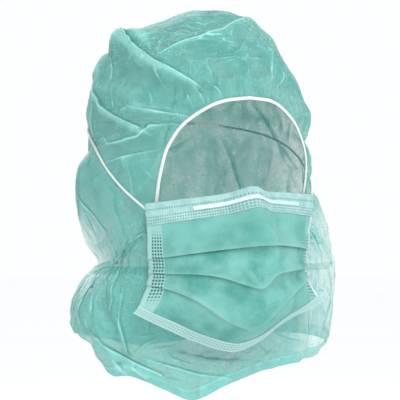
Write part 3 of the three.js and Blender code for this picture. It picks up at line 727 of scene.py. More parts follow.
def cape_points(across, down, stand):
    """Points of the cape's cloth for a ring grid, with their angle, depth, and way from its top and hem."""
    edge = opening_edge(CHIN, CHEEK)
    front = across <= FRONT_PART
    along = np.clip(across / FRONT_PART, 0, 1)
    part = np.clip((across - FRONT_PART) / (1 - FRONT_PART), 0, 1)
    lap = lap_place(part, 0, CHEEK)
    top_angle = np.where(front, at_edge(edge, along, "angle"), lap[0])
    top_depth = np.where(front, at_edge(edge, along, "depth"), lap[1])
    right, left = HEM_SPREAD
    hem_angle = np.where(front, mix(right, left, along), mix(left, 360 + right, part))
    hem = depth_of(read(HEM, "angle", np.where(hem_angle > 180, hem_angle - 360, hem_angle), "height"))
    from_cheek = np.minimum(np.minimum(across, np.abs(FRONT_PART - across)), 1 - across)
    eased = smooth(from_cheek * CAPE_THREADS, 0, CHEEK_THREADS)
    lap_stand = LAP_STAND * np.where(front, 1 - eased, 1)
    turn = np.where(front, HEM_TURN, mix(HEM_TURN, 1, eased))
    depth = mix(top_depth, hem, down)
    out = lap_stand * (1 - smooth(depth - top_depth, LAP, LAP_FADE)) + stand
    angle = mix(hem_angle, top_angle, (1 - down) ** turn)
    points = hood_point(angle, depth, out)
    inwards = at_edge(edge, along, "up") * front[:, None]
    points += inwards * (EDGE_BEYOND * (1 - smooth(depth - top_depth, 0, EDGE_FADE)))[:, None]
    return points, angle, depth, depth - top_depth, hem - depth


# ---- The mask's form ----


def plain_panel(across, down):
    """The panel's middle surface without its pleats. across runs from -1 at the wearer's right to 1."""
    across, down = np.broadcast_arrays(np.asarray(across, float), np.asarray(down, float))
    value = read_all(PANEL, "down", down)
    x = value["side_x"] * across
    nose = np.exp(-((x / value["nose_width"]) ** 2))
    out = np.abs(across)
    forward = mix(value["cheek"], value["side_y"], out ** value["bow"]) + value["nose"] * nose
    height = mix(value["height"], value["side_height"], out**PANEL_DROP) + value["nose_up"] * nose
    low = smooth(down, PLEATS[-1][0], PANEL_LENGTH)
    beside = (across - PANEL_LIFT["across"]) / PANEL_LIFT["reach"]
    height += low * PANEL_LIFT["rise"] * np.exp(-(beside**2))
    return np.stack([x, -forward, height + PANEL_ROLL * across], -1)


def panel_normal(across, down):
    """Forward direction of the panel's middle surface."""
    low = np.clip(down, 1, PANEL_LENGTH - 1)
    drop = plain_panel(across, low + 1) - plain_panel(across, low - 1)
    left = np.minimum(across + 0.02, 1)
    right = np.maximum(across - 0.02, -1)
    return unit(np.cross(drop, plain_panel(left, low) - plain_panel(right, low)))


def drawn(across, down):
    """Where a place down the flat panel lies when the mask is worn."""
    moved = np.array(down, float)
    for pleat, rows in DRAWN.items():
        near = np.exp(-(((down - pleat) / DRAWN_REACH) ** 2))
        moved += read(rows, "across", across, "shift") * near
    return moved


def panel_off(across, down, off):
    """A point off the panel's middle surface, or beyond its top or bottom edge."""
    over = np.clip(down, 0.5, PANEL_LENGTH - 0.5)
    beyond = unit(plain_panel(across, over + 0.5) - plain_panel(across, over - 0.5))
    edge = plain_panel(across, over) + beyond * (down - over)[..., None]
    return edge + panel_normal(across, over) * np.asarray(off)[..., None]


def panel_run(across, down=60):
    """Length along the panel's cloth from its middle line, at one level."""
    even = np.linspace(-1, 1, 401)
    curve = plain_panel(even, down)
    run = np.concatenate([[0], np.cumsum(np.linalg.norm(np.diff(curve, axis=0), axis=1))])
    return np.interp(across, even, run - run[200])


# ---- Meshes ----


def choose(piece):
    """Leaves only this piece selected and active."""
    if bpy.context.object and bpy.context.object.mode != "OBJECT":
        bpy.ops.object.mode_set(mode="OBJECT")
    bpy.ops.object.select_all(action="DESELECT")
    if piece:
        bpy.context.view_layer.objects.active = piece
        piece.select_set(True)


def flat_grid(name, columns, rows):
    """A new flat grid of cells, with its vertices' places across and down it from 0 to 1."""
    choose(None)
    bpy.ops.mesh.primitive_grid_add(x_subdivisions=columns, y_subdivisions=rows, size=2, calc_uvs=True)
    piece = bpy.context.object
    piece.name = piece.data.name = name
    at = read_vertices(piece.data)
    across = np.round((at[:, 0] + 1) / 2 * columns) / columns
    down = np.round((1 - at[:, 1]) / 2 * rows) / rows
    return piece, across, down


def read_vertices(mesh):
    """A mesh's vertices, one row each."""
    at = np.zeros(len(mesh.vertices) * 3)
    mesh.vertices.foreach_get("co", at)
    return at.reshape(-1, 3)


def shape_grid(piece, points, flat, **values):
    """Puts a grid's vertices at points in millimetres, with a UV map and named values from 0 to 1."""
    mesh = piece.data
    mesh.vertices.foreach_set("co", (points * MM).ravel())
    corner = np.zeros(len(mesh.loops), np.int32)
    mesh.loops.foreach_get("vertex_index", corner)
    mesh.uv_layers[0].data.foreach_set("uv", flat[corner].ravel())
    for name, numbers in values.items():
        layer = mesh.attributes.new(name, "FLOAT", "POINT")
        layer.data.foreach_set("value", np.clip(numbers, 0, 1).astype(np.float32))
    mesh.update()


def close_seam(piece, solid=False):
    """Merges the meeting edges of a grid, and turns a closed body's faces outwards."""
    choose(piece)
    bpy.ops.object.mode_set(mode="EDIT")
    bpy.ops.mesh.select_all(action="SELECT")
    bpy.ops.mesh.remove_doubles(threshold=0.00002)
    if solid:
        bpy.ops.mesh.normals_make_consistent(inside=False)
    bpy.ops.object.mode_set(mode="OBJECT")


def thicken(piece, thickness):
    """Gives a sheet its wall, half of it on each side."""
    choose(piece)
    wall = piece.modifiers.new("thickness", "SOLIDIFY")
    wall.thickness = thickness * MM
    wall.offset = 0
    bpy.ops.object.modifier_apply(modifier=wall.name)


def finish_piece(piece, material, node):
    """Gives a piece its finish, and its slot and node in the frame."""
    choose(piece)
    bpy.ops.object.shade_smooth()
    piece.data.materials.clear()
    piece.data.materials.append(material)
    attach(piece, "root")
    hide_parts(node)


def grid_places(columns, rows):
    """Places across and down a grid, from 0 to 1, for each of its vertices."""
    grids = np.meshgrid(np.linspace(0, 1, columns + 1), np.linspace(0, 1, rows + 1))
    return [grid.ravel() for grid in grids]


def as_grid(values, across, down):
    """Vertex values put in rows and columns, with the order that undoes it."""
    order = np.lexsort((across, down))
    columns = len(np.unique(across))
    return values[order].reshape(-1, columns, *values.shape[1:]), order


def from_grid(grid, order):
    """A grid's values back in the order of the mesh's vertices."""
    flat = grid.reshape(len(order), *grid.shape[2:])
    values = np.empty_like(flat)
    values[order] = flat
    return values


def outward(points, across, down, ring=False):
    """Outward directions of a grid whose columns run to the wearer's left and whose rows run down."""
    grid, order = as_grid(points, across, down)
    along = np.gradient(grid, axis=1)
    if ring:
        along[:, 0] = along[:, -1] = (grid[:, 1] - grid[:, -2]) / 2
    return from_grid(unit(np.cross(np.gradient(grid, axis=0), along)), order)


def noise_at(points, size, seed):
    """Smooth noise, mostly from -0.6 to 0.6, with features of about one size in millimetres."""
    shift = Vector((seed * 17.3, seed * 5.1, seed * 9.7))
    return np.array([noise.noise(Vector(point) / size + shift) for point in points.tolist()])


def crumpled(points, size, seed):
    """Height of flat facets that meet in sharp creases, from 0 to about 1, as in crumpled non-woven."""
    shift = np.stack([noise_at(points, size * 2.5, seed + axis) for axis in range(3)], -1) * size * 0.9
    bent = (points * (1, 1, 0.6) + shift) / size + seed * 7.1
    return np.array([noise.voronoi(Vector(point))[0][0] for point in bent.tolist()])


def crests(points, across, down, ring=False):
    """How sharply the cloth turns outwards at each point, as a height in mm above its neighbours."""
    grid, order = as_grid(points, across, down)
    near = blur(grid, ring, 4)
    out = outward(points, across, down, ring)
    return ((points - from_grid(near, order)) * out).sum(-1)


# ---- Cloth simulation ----

SIM_SCALE = 10  # the cloth is simulated ten times as big as it is, where the solver is steadier
SIM_FRAMES = 24
SIM_GRAVITY = 0.4


def billow(points, across, down, held, slack):
    """Lets a coarse grid of slack cloth buckle between the places where it is held; its movement in mm."""
    columns = len(np.unique(across)) - 1
    rows = len(np.unique(down)) - 1
    piece = flat_grid("slack_cloth", columns, rows)[0]
    start = points * MM * SIM_SCALE
    piece.data.vertices.foreach_set("co", start.ravel())
    group = piece.vertex_groups.new(name="held")
    for index, weight in enumerate(held.tolist()):
        group.add([index], weight, "REPLACE")
    choose(piece)
    cloth = piece.modifiers.new("cloth", "CLOTH")
    settings = cloth.settings
    settings.quality = 6
    settings.mass = 0.15
    settings.tension_stiffness = settings.compression_stiffness = 12
    settings.shear_stiffness = 6
    settings.bending_stiffness = 1.5
    settings.tension_damping = settings.compression_damping = settings.shear_damping = 8
    settings.bending_damping = 0.5
    settings.air_damping = 3
    settings.vertex_group_mass = "held"
    settings.pin_stiffness = 1
    settings.shrink_min = settings.shrink_max = -slack
    settings.effector_weights.gravity = SIM_GRAVITY
    cloth.collision_settings.use_collision = False
    cloth.point_cache.frame_start = 1
    cloth.point_cache.frame_end = SIM_FRAMES
    scene = bpy.context.scene
    for frame_number in range(1, SIM_FRAMES + 1):
        scene.frame_set(frame_number)
    graph = bpy.context.evaluated_depsgraph_get()
    moved = read_vertices(piece.evaluated_get(graph).data) - start
    scene.frame_set(1)
    bpy.ops.object.delete()
    return moved / (MM * SIM_SCALE)


def blur(grid, ring, times):
    """Evens out a grid's values between neighbours."""
    for _ in range(times):
        padded = np.pad(grid, ((1, 1), (1, 1), (0, 0)), mode="edge")
        if ring:
            padded[1:-1, 0], padded[1:-1, -1] = grid[:, -2], grid[:, 1]
        sides = padded[:-2, 1:-1] + padded[2:, 1:-1] + padded[1:-1, :-2] + padded[1:-1, 2:]
        grid = grid * 0.5 + sides * 0.125
    return grid


def resample(grid, rows, columns):
    """A grid of vectors read at a finer spacing."""
    old_rows, old_columns = grid.shape[:2]
    for count, axis, old in ((rows, 0, old_rows), (columns, 1, old_columns)):
        place = np.linspace(0, old - 1, count)
        low = np.minimum(place.astype(int), old - 2)
        part = (place - low).reshape((-1, 1, 1) if axis == 0 else (1, -1, 1))
        grid = mix(np.take(grid, low, axis), np.take(grid, low + 1, axis), part)
    return grid


def slack_movement(points, across, down, held, slack, sizes, ring):
    """Simulated movement of a piece's cloth, worked out on a coarse grid and read on its fine one."""
    columns, rows = sizes
    movement = billow(points, across, down, held, slack)
    grid = as_grid(movement, across, down)[0]
    return blur(resample(grid, rows + 1, columns + 1), ring, 3)


def settled(points, across, down, movement, out, loose, lowest, highest):
    """Points of a piece's cloth after its simulated movement, kept within limits inwards and outwards."""
    order = as_grid(points, across, down)[1]
    moved = from_grid(movement, order)
    lift = (moved * out).sum(-1)
    return points + (moved + out * (np.clip(lift, lowest, highest) - lift)[:, None]) * loose[:, None]


# ---- Finishes ----


# The long creases across the top: their slope, how often they come along and across it, and the heights
# between which they fade in
STREAKS = {"slope": 0.35, "along": 0.016, "across": 0.2, "fade": (-55, -25)}
# The line of a crease: half the width of its bright edge, and how far above it and how wide its shade is
LINE_EDGE = 0.75
LINE_SHADE = {"away": 1.7, "reach": 1.1}
LINE_CORE = 0.2  # half the width of the full edge and of the full shade


class Finish:
    """A material being made; each call adds to its nodes. Distances are in millimetres."""

    def __init__(self, name):
        self.material = bpy.data.materials.new(name)
        self.material.use_nodes = True
        self.tree = self.material.node_tree
        self.tree.nodes.clear()
        self.flat = self.node("TexCoord").outputs["UV"]
        space = self.node("Mapping", {"Vector": self.node("TexCoord").outputs["Object"]})
        space.inputs["Scale"].default_value = (1 / MM, 1 / MM, 1 / MM)
        self.space = space.outputs["Vector"]

    def node(self, kind, inputs=None, **settings):
        """One node; each input is given a socket or a value."""
        made = self.tree.nodes.new("ShaderNode" + kind)
        for name, value in settings.items():
            setattr(made, name, value)
        for name, value in (inputs or {}).items():
            if isinstance(value, bpy.types.NodeSocket):
                self.tree.links.new(value, made.inputs[name])
            else:
                made.inputs[name].default_value = value
        return made

    def maths(self, operation, a, b=0.0, clamp=False):
        """One operation on two sockets or values."""
        made = self.node("Math", {0: a, 1: b}, operation=operation)
        made.use_clamp = clamp
        return made.outputs[0]

    def times(self, a, b):
        return self.maths("MULTIPLY", a, b)

    def plus(self, total, value, amount, clamp=False):
        """A total with some amount of another value added to it."""
        return self.maths("ADD", total, self.times(value, amount), clamp)

    def named(self, name):
        """The mesh's own value of this name, from 0 to 1."""
        return self.node("Attribute", attribute_name=name).outputs["Fac"]

    def noise(self, vector, size, detail=2.0, rough=0.5):
        """Cloudy noise with features of about one size."""
        inputs = {"Vector": vector, "Scale": 1 / size, "Detail": detail, "Roughness": rough}
        return self.node("TexNoise", inputs).outputs["Fac"]

    def step(self, value, low, high, start=0.0, end=1.0):
        """A value that eases from start at low to end at high."""
        inputs = {"Value": value, "From Min": low, "From Max": high, "To Min": start, "To Max": end}
        return self.node("MapRange", inputs, interpolation_type="SMOOTHSTEP").outputs["Result"]

    def blend(self, factor, a, b):
        """A colour that goes from a to b with the factor."""
        made = self.node("Mix", {0: factor}, data_type="RGBA")
        for socket, value in ((made.inputs[6], a), (made.inputs[7], b)):
            if isinstance(value, bpy.types.NodeSocket):
                self.tree.links.new(value, socket)
            else:
                socket.default_value = (*value, 1.0)
        return made.outputs[2]

    def bond_dots(self, pitch, radius):
        """Round dots in even rows, where the fibres are bonded."""
        inputs = {"Vector": self.flat, "Scale": 1 / pitch, "Randomness": 0.0}
        found = self.node("TexVoronoi", inputs, voronoi_dimensions="2D", feature="F1")
        return self.step(found.outputs["Distance"], radius / pitch, radius / pitch * 0.6)

    def streaks(self):
        """Long thin creases that run across the top of the hood."""
        split = self.node("SeparateXYZ", {"Vector": self.space})
        run = self.node("Mapping", {"Vector": self.space})
        run.inputs["Rotation"].default_value = (0, STREAKS["slope"], 0)
        run.inputs["Scale"].default_value = (STREAKS["along"], STREAKS["across"], STREAKS["across"])
        found = self.node("TexNoise", {"Vector": run.outputs["Vector"], "Scale": 1.0, "Detail": 1.0})
        off = self.maths("ABSOLUTE", self.maths("SUBTRACT", found.outputs["Fac"], 0.5))
        high = self.step(split.outputs["Z"], *STREAKS["fade"])
        patch = self.step(self.noise(self.space, 22, 1.0), 0.42, 0.6, 0.25, 1.0)
        return self.times(self.step(off, 0.022, 0.004), self.times(patch, high))

    def crease_edges(self):
        """The thin bright edge of each crease, and the narrow shade above it."""
        mark = self.named("mark")
        off = self.times(self.maths("SUBTRACT", self.named("away"), 0.5), 2 * EDGE_REACH)
        above = self.maths("SUBTRACT", off, LINE_SHADE["away"])
        edge = self.step(self.maths("ABSOLUTE", off), LINE_EDGE, LINE_CORE)
        shade = self.step(self.maths("ABSOLUTE", above), LINE_SHADE["reach"], LINE_CORE)
        return self.times(edge, mark), self.times(shade, mark)

    def from_nearest(self, value, pitch):
        """Distance from a value to the nearest of evenly spaced places."""
        part = self.maths("FRACT", self.maths("DIVIDE", value, pitch))
        return self.times(self.maths("SUBTRACT", part, 0.5), pitch)

    def dots_at(self, du, dv, radius):
        """A dot where two distances from its middle are small."""
        squares = self.plus(self.times(du, du), dv, dv)
        return self.step(self.maths("SQRT", squares), radius, radius * 0.6)

    def bump(self, height, distance, strength):
        """Relief from a height, whose full range is this distance."""
        inputs = {"Height": height, "Distance": distance * MM, "Strength": strength}
        return self.node("Bump", inputs).outputs["Normal"]

    def surface(self, colour, bump, roughness, sheen, through, cover=None):
        """The cloth's shader: through is how much light passes as in paper, cover is how dense it is."""
        shading = self.node("BsdfPrincipled", {"Base Color": colour, "Normal": bump})
        shading.inputs["Roughness"].default_value = roughness
        shading.inputs["Sheen Weight"].default_value = sheen
        shading.inputs["Specular IOR Level"].default_value = 0.22
        glow = self.node("BsdfTranslucent", {"Color": colour, "Normal": bump})
        cloth = self.node("MixShader", {0: through, 1: shading.outputs[0], 2: glow.outputs[0]})
        if cover is not None:
            clear = self.node("BsdfTransparent")
            cloth = self.node("MixShader", {0: cover, 1: clear.outputs[0], 2: cloth.outputs[0]})
        output = self.node("OutputMaterial", {"Surface": cloth.outputs[0]})
        output.is_active_output = True
        return self.material


def hood_cloth(name, settings):
    """Thin see-through spunbond: cloudy, fibrous, denser and paler where it lies folded."""
    look = Finish(name)
    cloud = look.noise(look.space, settings.cloud_size / MM, 4.0, 0.6)
    grain = look.noise(look.space, settings.grain_size / MM, 2.0, 0.7)
    dots = look.bond_dots(settings.bond_pitch / MM, 0.55)
    fold = look.named("fold")
    dense = look.named("dense")
    edge, shade = look.crease_edges()
    streak = look.maths("MAXIMUM", look.streaks(), edge)
    # The painted shade above each crease also makes the cloth there more opaque, and raises its least cover
    denser = (
        (streak, 0.55),
        (shade, 0.3),
        (grain, 0.28),
        (dots, 0.05),
        (dense, settings.back_cover),
    )
    cover = look.plus(settings.cover - 0.42, cloud, 0.44)
    for value, amount in denser:
        cover = look.plus(cover, value, amount)
    cover = look.plus(cover, fold, 0.5, clamp=True)
    least = look.plus(look.times(cloud, settings.least_cover), shade, settings.least_cover)
    cover = look.maths("MAXIMUM", cover, least)
    tone = look.step(look.plus(cloud, grain, 0.4), 0.35, 1.0)
    colour = look.blend(tone, settings.cloth_colour, settings.pale_colour)
    thin = look.step(dense, 0.5, 0.1, 0.0, 0.6)
    colour = look.blend(thin, colour, settings.fold_colour)
    doubled = look.plus(look.times(fold, 0.6), streak, 0.8, clamp=True)
    colour = look.blend(doubled, colour, settings.fold_colour)
    # Painted shade in a narrow band above each crease's edge
    colour = look.blend(look.times(shade, 0.75), colour, settings.crease_shade_colour)
    height = look.plus(look.plus(grain, dots, -0.5), streak, 2.0)
    return look.surface(colour, look.bump(height, 0.12, 0.6), 0.6, 0.05, settings.through, cover)


# Levels on the mask in mm between which something fades in: the weld blocks at their top and their bottom,
# and the paler cloth beside them
WELD_TOP = (-166, -177)
WELD_BOTTOM = (-228, -214)
BLOCK_TOP = (-150, -176)
# Distances down the flat panel in mm, and how much paler it is there: the top panel, and painted light on
# the lower part, which turns down away from the lamps
PALE_TOP = (49, 47, 0.0, 0.35)
LOW_PAINTED_LIGHT = (84, 112, 0.0, 0.15)
WELD_COLUMNS = 4


def mask_cloth(name, settings):
    """Three-ply pleated cloth, nearly opaque, with blocks of weld dots and a pale hem down each side."""
    look = Finish(name)
    cloud = look.noise(look.space, 9.0, 3.0)
    grain = look.noise(look.space, 1.3, 2.0, 0.7)
    dots = look.bond_dots(1.6, 0.4)
    split = look.node("SeparateXYZ", {"Vector": look.flat})
    width, down = split.outputs["X"], split.outputs["Y"]
    side = look.maths("SUBTRACT", float(panel_run(1.0)), look.maths("ABSOLUTE", width))
    height = look.node("SeparateXYZ", {"Vector": look.space}).outputs["Z"]
    far = settings.weld_near + WELD_COLUMNS * settings.weld_pitch
    near_side = look.step(side, settings.weld_near, settings.weld_near + 0.1)
    columns = look.times(near_side, look.step(side, far, far - 0.1))
    rows = look.times(look.step(height, *WELD_TOP), look.step(height, *WELD_BOTTOM))
    across = look.from_nearest(look.maths("SUBTRACT", side, settings.weld_near), settings.weld_pitch)
    weld = look.dots_at(across, look.from_nearest(height, settings.weld_pitch), 1.05)
    weld = look.times(weld, look.times(columns, rows))
    hem = look.step(side, settings.hem_width + 0.4, settings.hem_width)
    hem = look.times(hem, look.step(width, -40, 40, 0.12, 1.0))
    pale_block = look.times(look.step(side, far + 1, far), look.step(height, *BLOCK_TOP))
    patch = look.plus(look.noise(look.space, 26.0, 1.0), cloud, 0.6)
    tone = look.step(look.plus(patch, grain, 0.4), 0.67, 1.26)
    colour = look.blend(tone, settings.mask_colour, settings.mask_pale)
    colour = look.blend(look.step(down, *PALE_TOP), colour, settings.mask_pale)
    # Painted light on the lower part of the panel, which turns down away from the lamps
    colour = look.blend(look.step(down, *LOW_PAINTED_LIGHT), colour, settings.mask_pale)
    # Painted highlight along the ridges of the creases and along the pleats' lips
    colour = look.blend(look.times(look.named("fold"), 0.6), colour, settings.mask_highlight)
    colour = look.blend(look.times(pale_block, 0.6), colour, settings.strip_pale)
    colour = look.blend(hem, colour, settings.hem_colour)
    colour = look.blend(weld, colour, settings.weld_colour)
    relief = look.plus(look.plus(grain, dots, -0.4), weld, -2.0)
    return look.surface(colour, look.bump(relief, 0.25, 0.6), 0.7, 0.03, 0.12)


def strip_cloth(name, settings, rows, pale):
    """A pale folded strip, welded through along rows of short dashes. pale is how much paler it is."""
    look = Finish(name)
    cloud = look.noise(look.space, 7.0, 3.0)
    grain = look.noise(look.space, 1.2, 2.0, 0.7)
    split = look.node("SeparateXYZ", {"Vector": look.flat})
    across = look.from_nearest(split.outputs["X"], settings.strip_pitch / MM)
    weld = 0.0
    for row in rows:
        dots = look.dots_at(across, look.maths("SUBTRACT", split.outputs["Y"], row), 0.8)
        weld = look.maths("MAXIMUM", weld, dots)
    tone = look.step(look.maths("ADD", look.plus(cloud, grain, 0.5), pale), 0.4, 1.1)
    colour = look.blend(tone, settings.strip_colour, settings.strip_pale)
    colour = look.blend(look.times(weld, 0.75), colour, settings.strip_weld)
    height = look.plus(grain, weld, -2.0)
    return look.surface(colour, look.bump(height, 0.25, 0.6), 0.7, 0.1, 0.15)


def elastic_rib(name, settings, pitch, dark):
    """Knitted elastic: rows of stitches along its length, with painted shade between them."""
    look = Finish(name)
    split = look.node("SeparateXYZ", {"Vector": look.flat})
    turn = look.times(split.outputs["Y"], 2 * math.pi / pitch)
    lean = look.times(split.outputs["X"], 2.4)
    stitch = look.maths("SINE", look.maths("ADD", turn, lean))
    grain = look.noise(look.space, 0.9, 2.0, 0.7)
    shade = look.step(look.maths("ADD", stitch, grain), -0.9, 1.1)
    pale = settings.elastic_colour
    # Painted shade in the hollows between the stitches: a darker copy of the elastic's colour
    colour = look.blend(shade, [value * dark for value in pale], pale)
    return look.surface(colour, look.bump(look.maths("ADD", stitch, grain), 0.12, 0.5), 0.6, 0.2, 0.1)


def nose_plastic(name, settings):
    """The bendable strip at the nose: smooth, pale and slightly cloudy."""
    look = Finish(name)
    cloud = look.noise(look.space, 5.0, 3.0)
    grain = look.noise(look.space, 0.8, 2.0, 0.6)
    colour = look.blend(look.step(cloud, 0.3, 0.7), settings.nose_colour, settings.nose_pale)
    along = look.node("SeparateXYZ", {"Vector": look.flat}).outputs["Y"]
    colour = look.blend(look.step(along, 66, 80, 0.0, 0.75), colour, settings.strip_pale)
    return look.surface(colour, look.bump(grain, 0.08, 0.4), 0.4, 0.0, 0.1)


def floor_paint(name, settings):
    """The plain pale floor."""
    look = Finish(name)
    cloud = look.noise(look.space, 900.0, 2.0)
    colour = look.blend(look.step(cloud, 0.3, 0.7), settings.floor_colour, settings.floor_pale)
    grain = look.noise(look.space, 6.0, 2.0)
    return look.surface(colour, look.bump(grain, 0.05, 0.2), 0.9, 0.0, 0.0)


# ---- Settings that a user would change ----


def length(name, default, description):
    """A length setting, given in millimetres."""
    return FloatProperty(
        name=name, description=description, default=default * MM, min=0, unit="LENGTH", precision=5
    )


def number(name, default, description):
    """A plain number, or a length in millimetres that only a finish reads."""
    return FloatProperty(name=name, description=description, default=default, min=0)


def share(name, default, description):
    """A part from 0 to 1."""
    return FloatProperty(
        name=name, description=description, default=default, min=0, max=1, subtype="FACTOR"
    )


def colour(name, default, description):
    """A linear colour."""
    return FloatVectorProperty(
        name=name, description=description, default=default, size=3, min=0, max=1, subtype="COLOR"
    )


class HoodCloth(PropertyGroup):
    thickness: length("Thickness", 0.36, "Thickness of the hood's non-woven")
    middle: length("Stand", 0.5, "How far the cloth's middle lies outside the hood's form")
    slack: share("Slack", 0.035, "How much longer the simulated cloth is than the space it is held in")
    crumple: length("Crumple", 2.6, "Height of the large papery creases")
    fine_crumple: length("Fine crumple", 0.5, "Height of the small papery creases")
    crest_shade: number("Crests", 1.4, "How much denser sharp crests look, per mm of their height")
    gather: length("Gathers", 0.4, "Height of the gathers beside the elastic and the seams")
    cover: share("Cover", 0.13, "How dense a single face of the cloth is")
    least_cover: share("Least cover", 0.3, "How dense the thinnest places are, in their denser patches")
    back_cover: share("Gathered cover", 0.5, "How much denser it is where it is gathered most")
    through: share("Through", 0.15, "Share of the light that comes out on the cloth's other side")
    cloud_size: length("Cloud size", 11, "Size of the denser and thinner patches")
    grain_size: length("Grain size", 1.5, "Size of the fibre grain")
    bond_pitch: length("Bond pitch", 2.2, "Distance between the points where the fibres are bonded")
    hem_width: length("Hem", 7, "Height of the turned hem at the cape's lower edge")
    cloth_colour: colour("Cloth", (0.085, 0.33, 0.29), "Colour of the dense cloth")
    pale_colour: colour("Thin places", (0.13, 0.4, 0.365), "Colour of the thinner patches")
    # Colour of the painted shade above each sharp crease
    crease_shade_colour: colour("Grooves", (0.03, 0.17, 0.145), "Colour in the shade beside a sharp crease")
    fold_colour: colour("Folds", (0.28, 0.57, 0.535), "Colour where the cloth lies doubled")


class MaskCloth(PropertyGroup):
    thickness: length("Thickness", 0.4, "Thickness of the pleated panel")
    strip_thickness: length("Strip thickness", 0.25, "Thickness of the strips folded over its edges")
    crumple: length("Crumple", 1.3, "Height of the panel's soft creases")
    weld_near: number("Weld", 3.8, "Distance from a side to its weld block, mm")
    hem_width: number("Side hem", 3.4, "Width of the pale hem down each side, mm")
    strip_pitch: length("Strip weld pitch", 2.3, "Distance between the dots of the strips' welds")
    weld_pitch: number("Weld pitch", 2.5, "Distance between the weld blocks' dots, mm")
    mask_colour: colour("Panel", (0.05, 0.24, 0.205), "Colour of the panel")
    # Also used for the paler top panel and for the painted light on the lower part
    mask_pale: colour("Panel, pale", (0.138, 0.367, 0.332), "Colour of its thinner patches")
    # Colour of the painted highlight along the panel's ridges and pleat lips
    mask_highlight: colour("Panel, folds", (0.26, 0.47, 0.44), "Colour along its creases")
    strip_colour: colour("Strips", (0.2, 0.38, 0.36), "Colour of the folded strips")
    strip_pale: colour("Strips, pale", (0.33, 0.52, 0.5), "Colour of their thinner patches")
    strip_weld: colour("Strip welds", (0.07, 0.22, 0.2), "Colour of the strips' welded dashes")
    hem_colour: colour("Side hems", (0.42, 0.58, 0.57), "Colour of the hem down each side of the panel")
    weld_colour: colour("Welds", (0.01, 0.12, 0.1), "Colour of the weld blocks' dots")
    nose_colour: colour("Nose strip", (0.45, 0.56, 0.55), "Colour of the nose strip")
    nose_pale: colour("Nose strip, pale", (0.55, 0.63, 0.62), "Its paler patches")


class HoodElastics(PropertyGroup):
    face_width: length("Face elastic width", 2.6, "Width of the elastic round the face opening")
    face_thickness: length("Face elastic thickness", 1.3, "Its thickness")
    cord: length("Head cord", 1.8, "Diameter of the cord round the back of the head")
    elastic_colour: colour("Elastic", (0.63, 0.635, 0.62), "Colour of both elastics")


class HoodStage(PropertyGroup):
    turn: FloatProperty(
        name="Turn", description="Camera's turn round the hood", default=math.radians(-27), subtype="ANGLE"
    )
    rise: FloatProperty(
        name="Rise", description="Camera's rise over the hood", default=math.radians(0.2), subtype="ANGLE"
    )
    lens: FloatProperty(name="Lens", description="Focal length, mm", default=600, min=1)
    frame_width: length("View width", 308, "Width of the view at the hood")
    look_side: length("Look side", 2.3, "How far the view's centre is to the hood's left")
    look_drop: length("Look drop", 145, "How far the view's centre is below the hood's top")
    floor_drop: length("Floor drop", 420, "How far the floor is below the hood's top")
    floor_colour: colour("Floor", (0.975, 0.98, 0.985), "Colour of the floor")
    floor_pale: colour("Floor, pale", (0.985, 0.99, 0.995), "Its paler patches")


# ---- Pieces ----

CROWN_CELLS = 216
CROWN_SIM_CELLS = 92
CAPE_CELLS = (400, 108)
CAPE_SIM_CELLS = (208, 52)
MASK_COLUMNS = 200
STRIP_COLUMNS = 220
STRIP_ROWS = 18  # down each face of a folded strip
FACE_POINTS = 521  # along the face elastic
CORD_POINTS = 421  # along the head cord
CORD_SIDES = 12
LOOSE_HOLD = 0.16  # how firmly the simulated cloth is held where it lies loose


def cord_rows():
    """The head cord's line on both sides, as a line of places on the hood."""
    angle = np.concatenate([-ELASTIC_LINE["angle"][:-1], ELASTIC_LINE["angle"][::-1]])
    height = np.concatenate([ELASTIC_LINE["height"][:-1], ELASTIC_LINE["height"][::-1]])
    return {"angle": angle, "height": height, "width": np.ones(len(angle))}


def opening_line():
    """The face opening's edge all the way round, as points of the plain form."""
    rows = np.linspace(0, CHIN, 2 * CHIN + 1)
    sides = [form_point(*opening_place(rows, sign)[:2]) for sign in (-1, 1)]
    return np.concatenate([sides[0][::-1], sides[1][1:]])


ARC_WIDTH = 1.5  # mm of cloth for each degree round the hood
CRUMPLE_SIZE = 24
FINE_CRUMPLE_SIZE = 9
GATHER_SIZE = 3.6
GATHER_REACH = 11
GATHER_SQUEEZE = 0.16  # a gather's width as a share of its length
CORD_PRESS = {"depth": 0.9, "reach": 3, "calm": 5}  # how the head cord presses the cloth flat, in mm


def cloth_detail(form, angle, from_edge, settings):
    """Sharp creases, crumple and gathers of the hood's cloth, and what its finish needs to show them."""
    rise, double, away, mark = crease_rise(form)
    line = opening_line()
    ends = {"width": np.ones(len(line))}
    from_face = beside_line(form, ends, [], line, line)[0]
    large = crumpled(form, CRUMPLE_SIZE, SEED)
    small = crumpled(form, FINE_CRUMPLE_SIZE, SEED + 1)
    thread = np.stack([angle * ARC_WIDTH, from_edge * GATHER_SQUEEZE, np.zeros(len(angle))], -1)
    gather = 1 - 4 * np.abs(noise_at(thread, GATHER_SIZE, SEED + 2))
    cord = beside_line(form, cord_rows(), [])[0]
    calm = (1 - 0.9 * np.exp(-((cord / CORD_PRESS["calm"]) ** 2))) * smooth(from_face, 1.5, 12)
    rise += (settings.crumple * (large - 0.6) + settings.fine_crumple * small) / MM * calm
    gather *= smooth(from_face, 1.5, 5) * np.exp(-from_edge / GATHER_REACH)
    pressed = CORD_PRESS["depth"] * np.exp(-((cord / CORD_PRESS["reach"]) ** 2))
    rise = rise * calm + settings.gather / MM * gather - pressed
    fold = double + 0.12 * np.maximum(gather, 0)
    return rise, {"fold": fold, "away": away, "mark": mark}, cord


FRONT_DENSITY = 0.64
BACK_DENSITY = 0.34  # how much denser the cloth is behind the ears
BEHIND_EARS = (85, 125)  # from the first angle off the face to the second this comes in


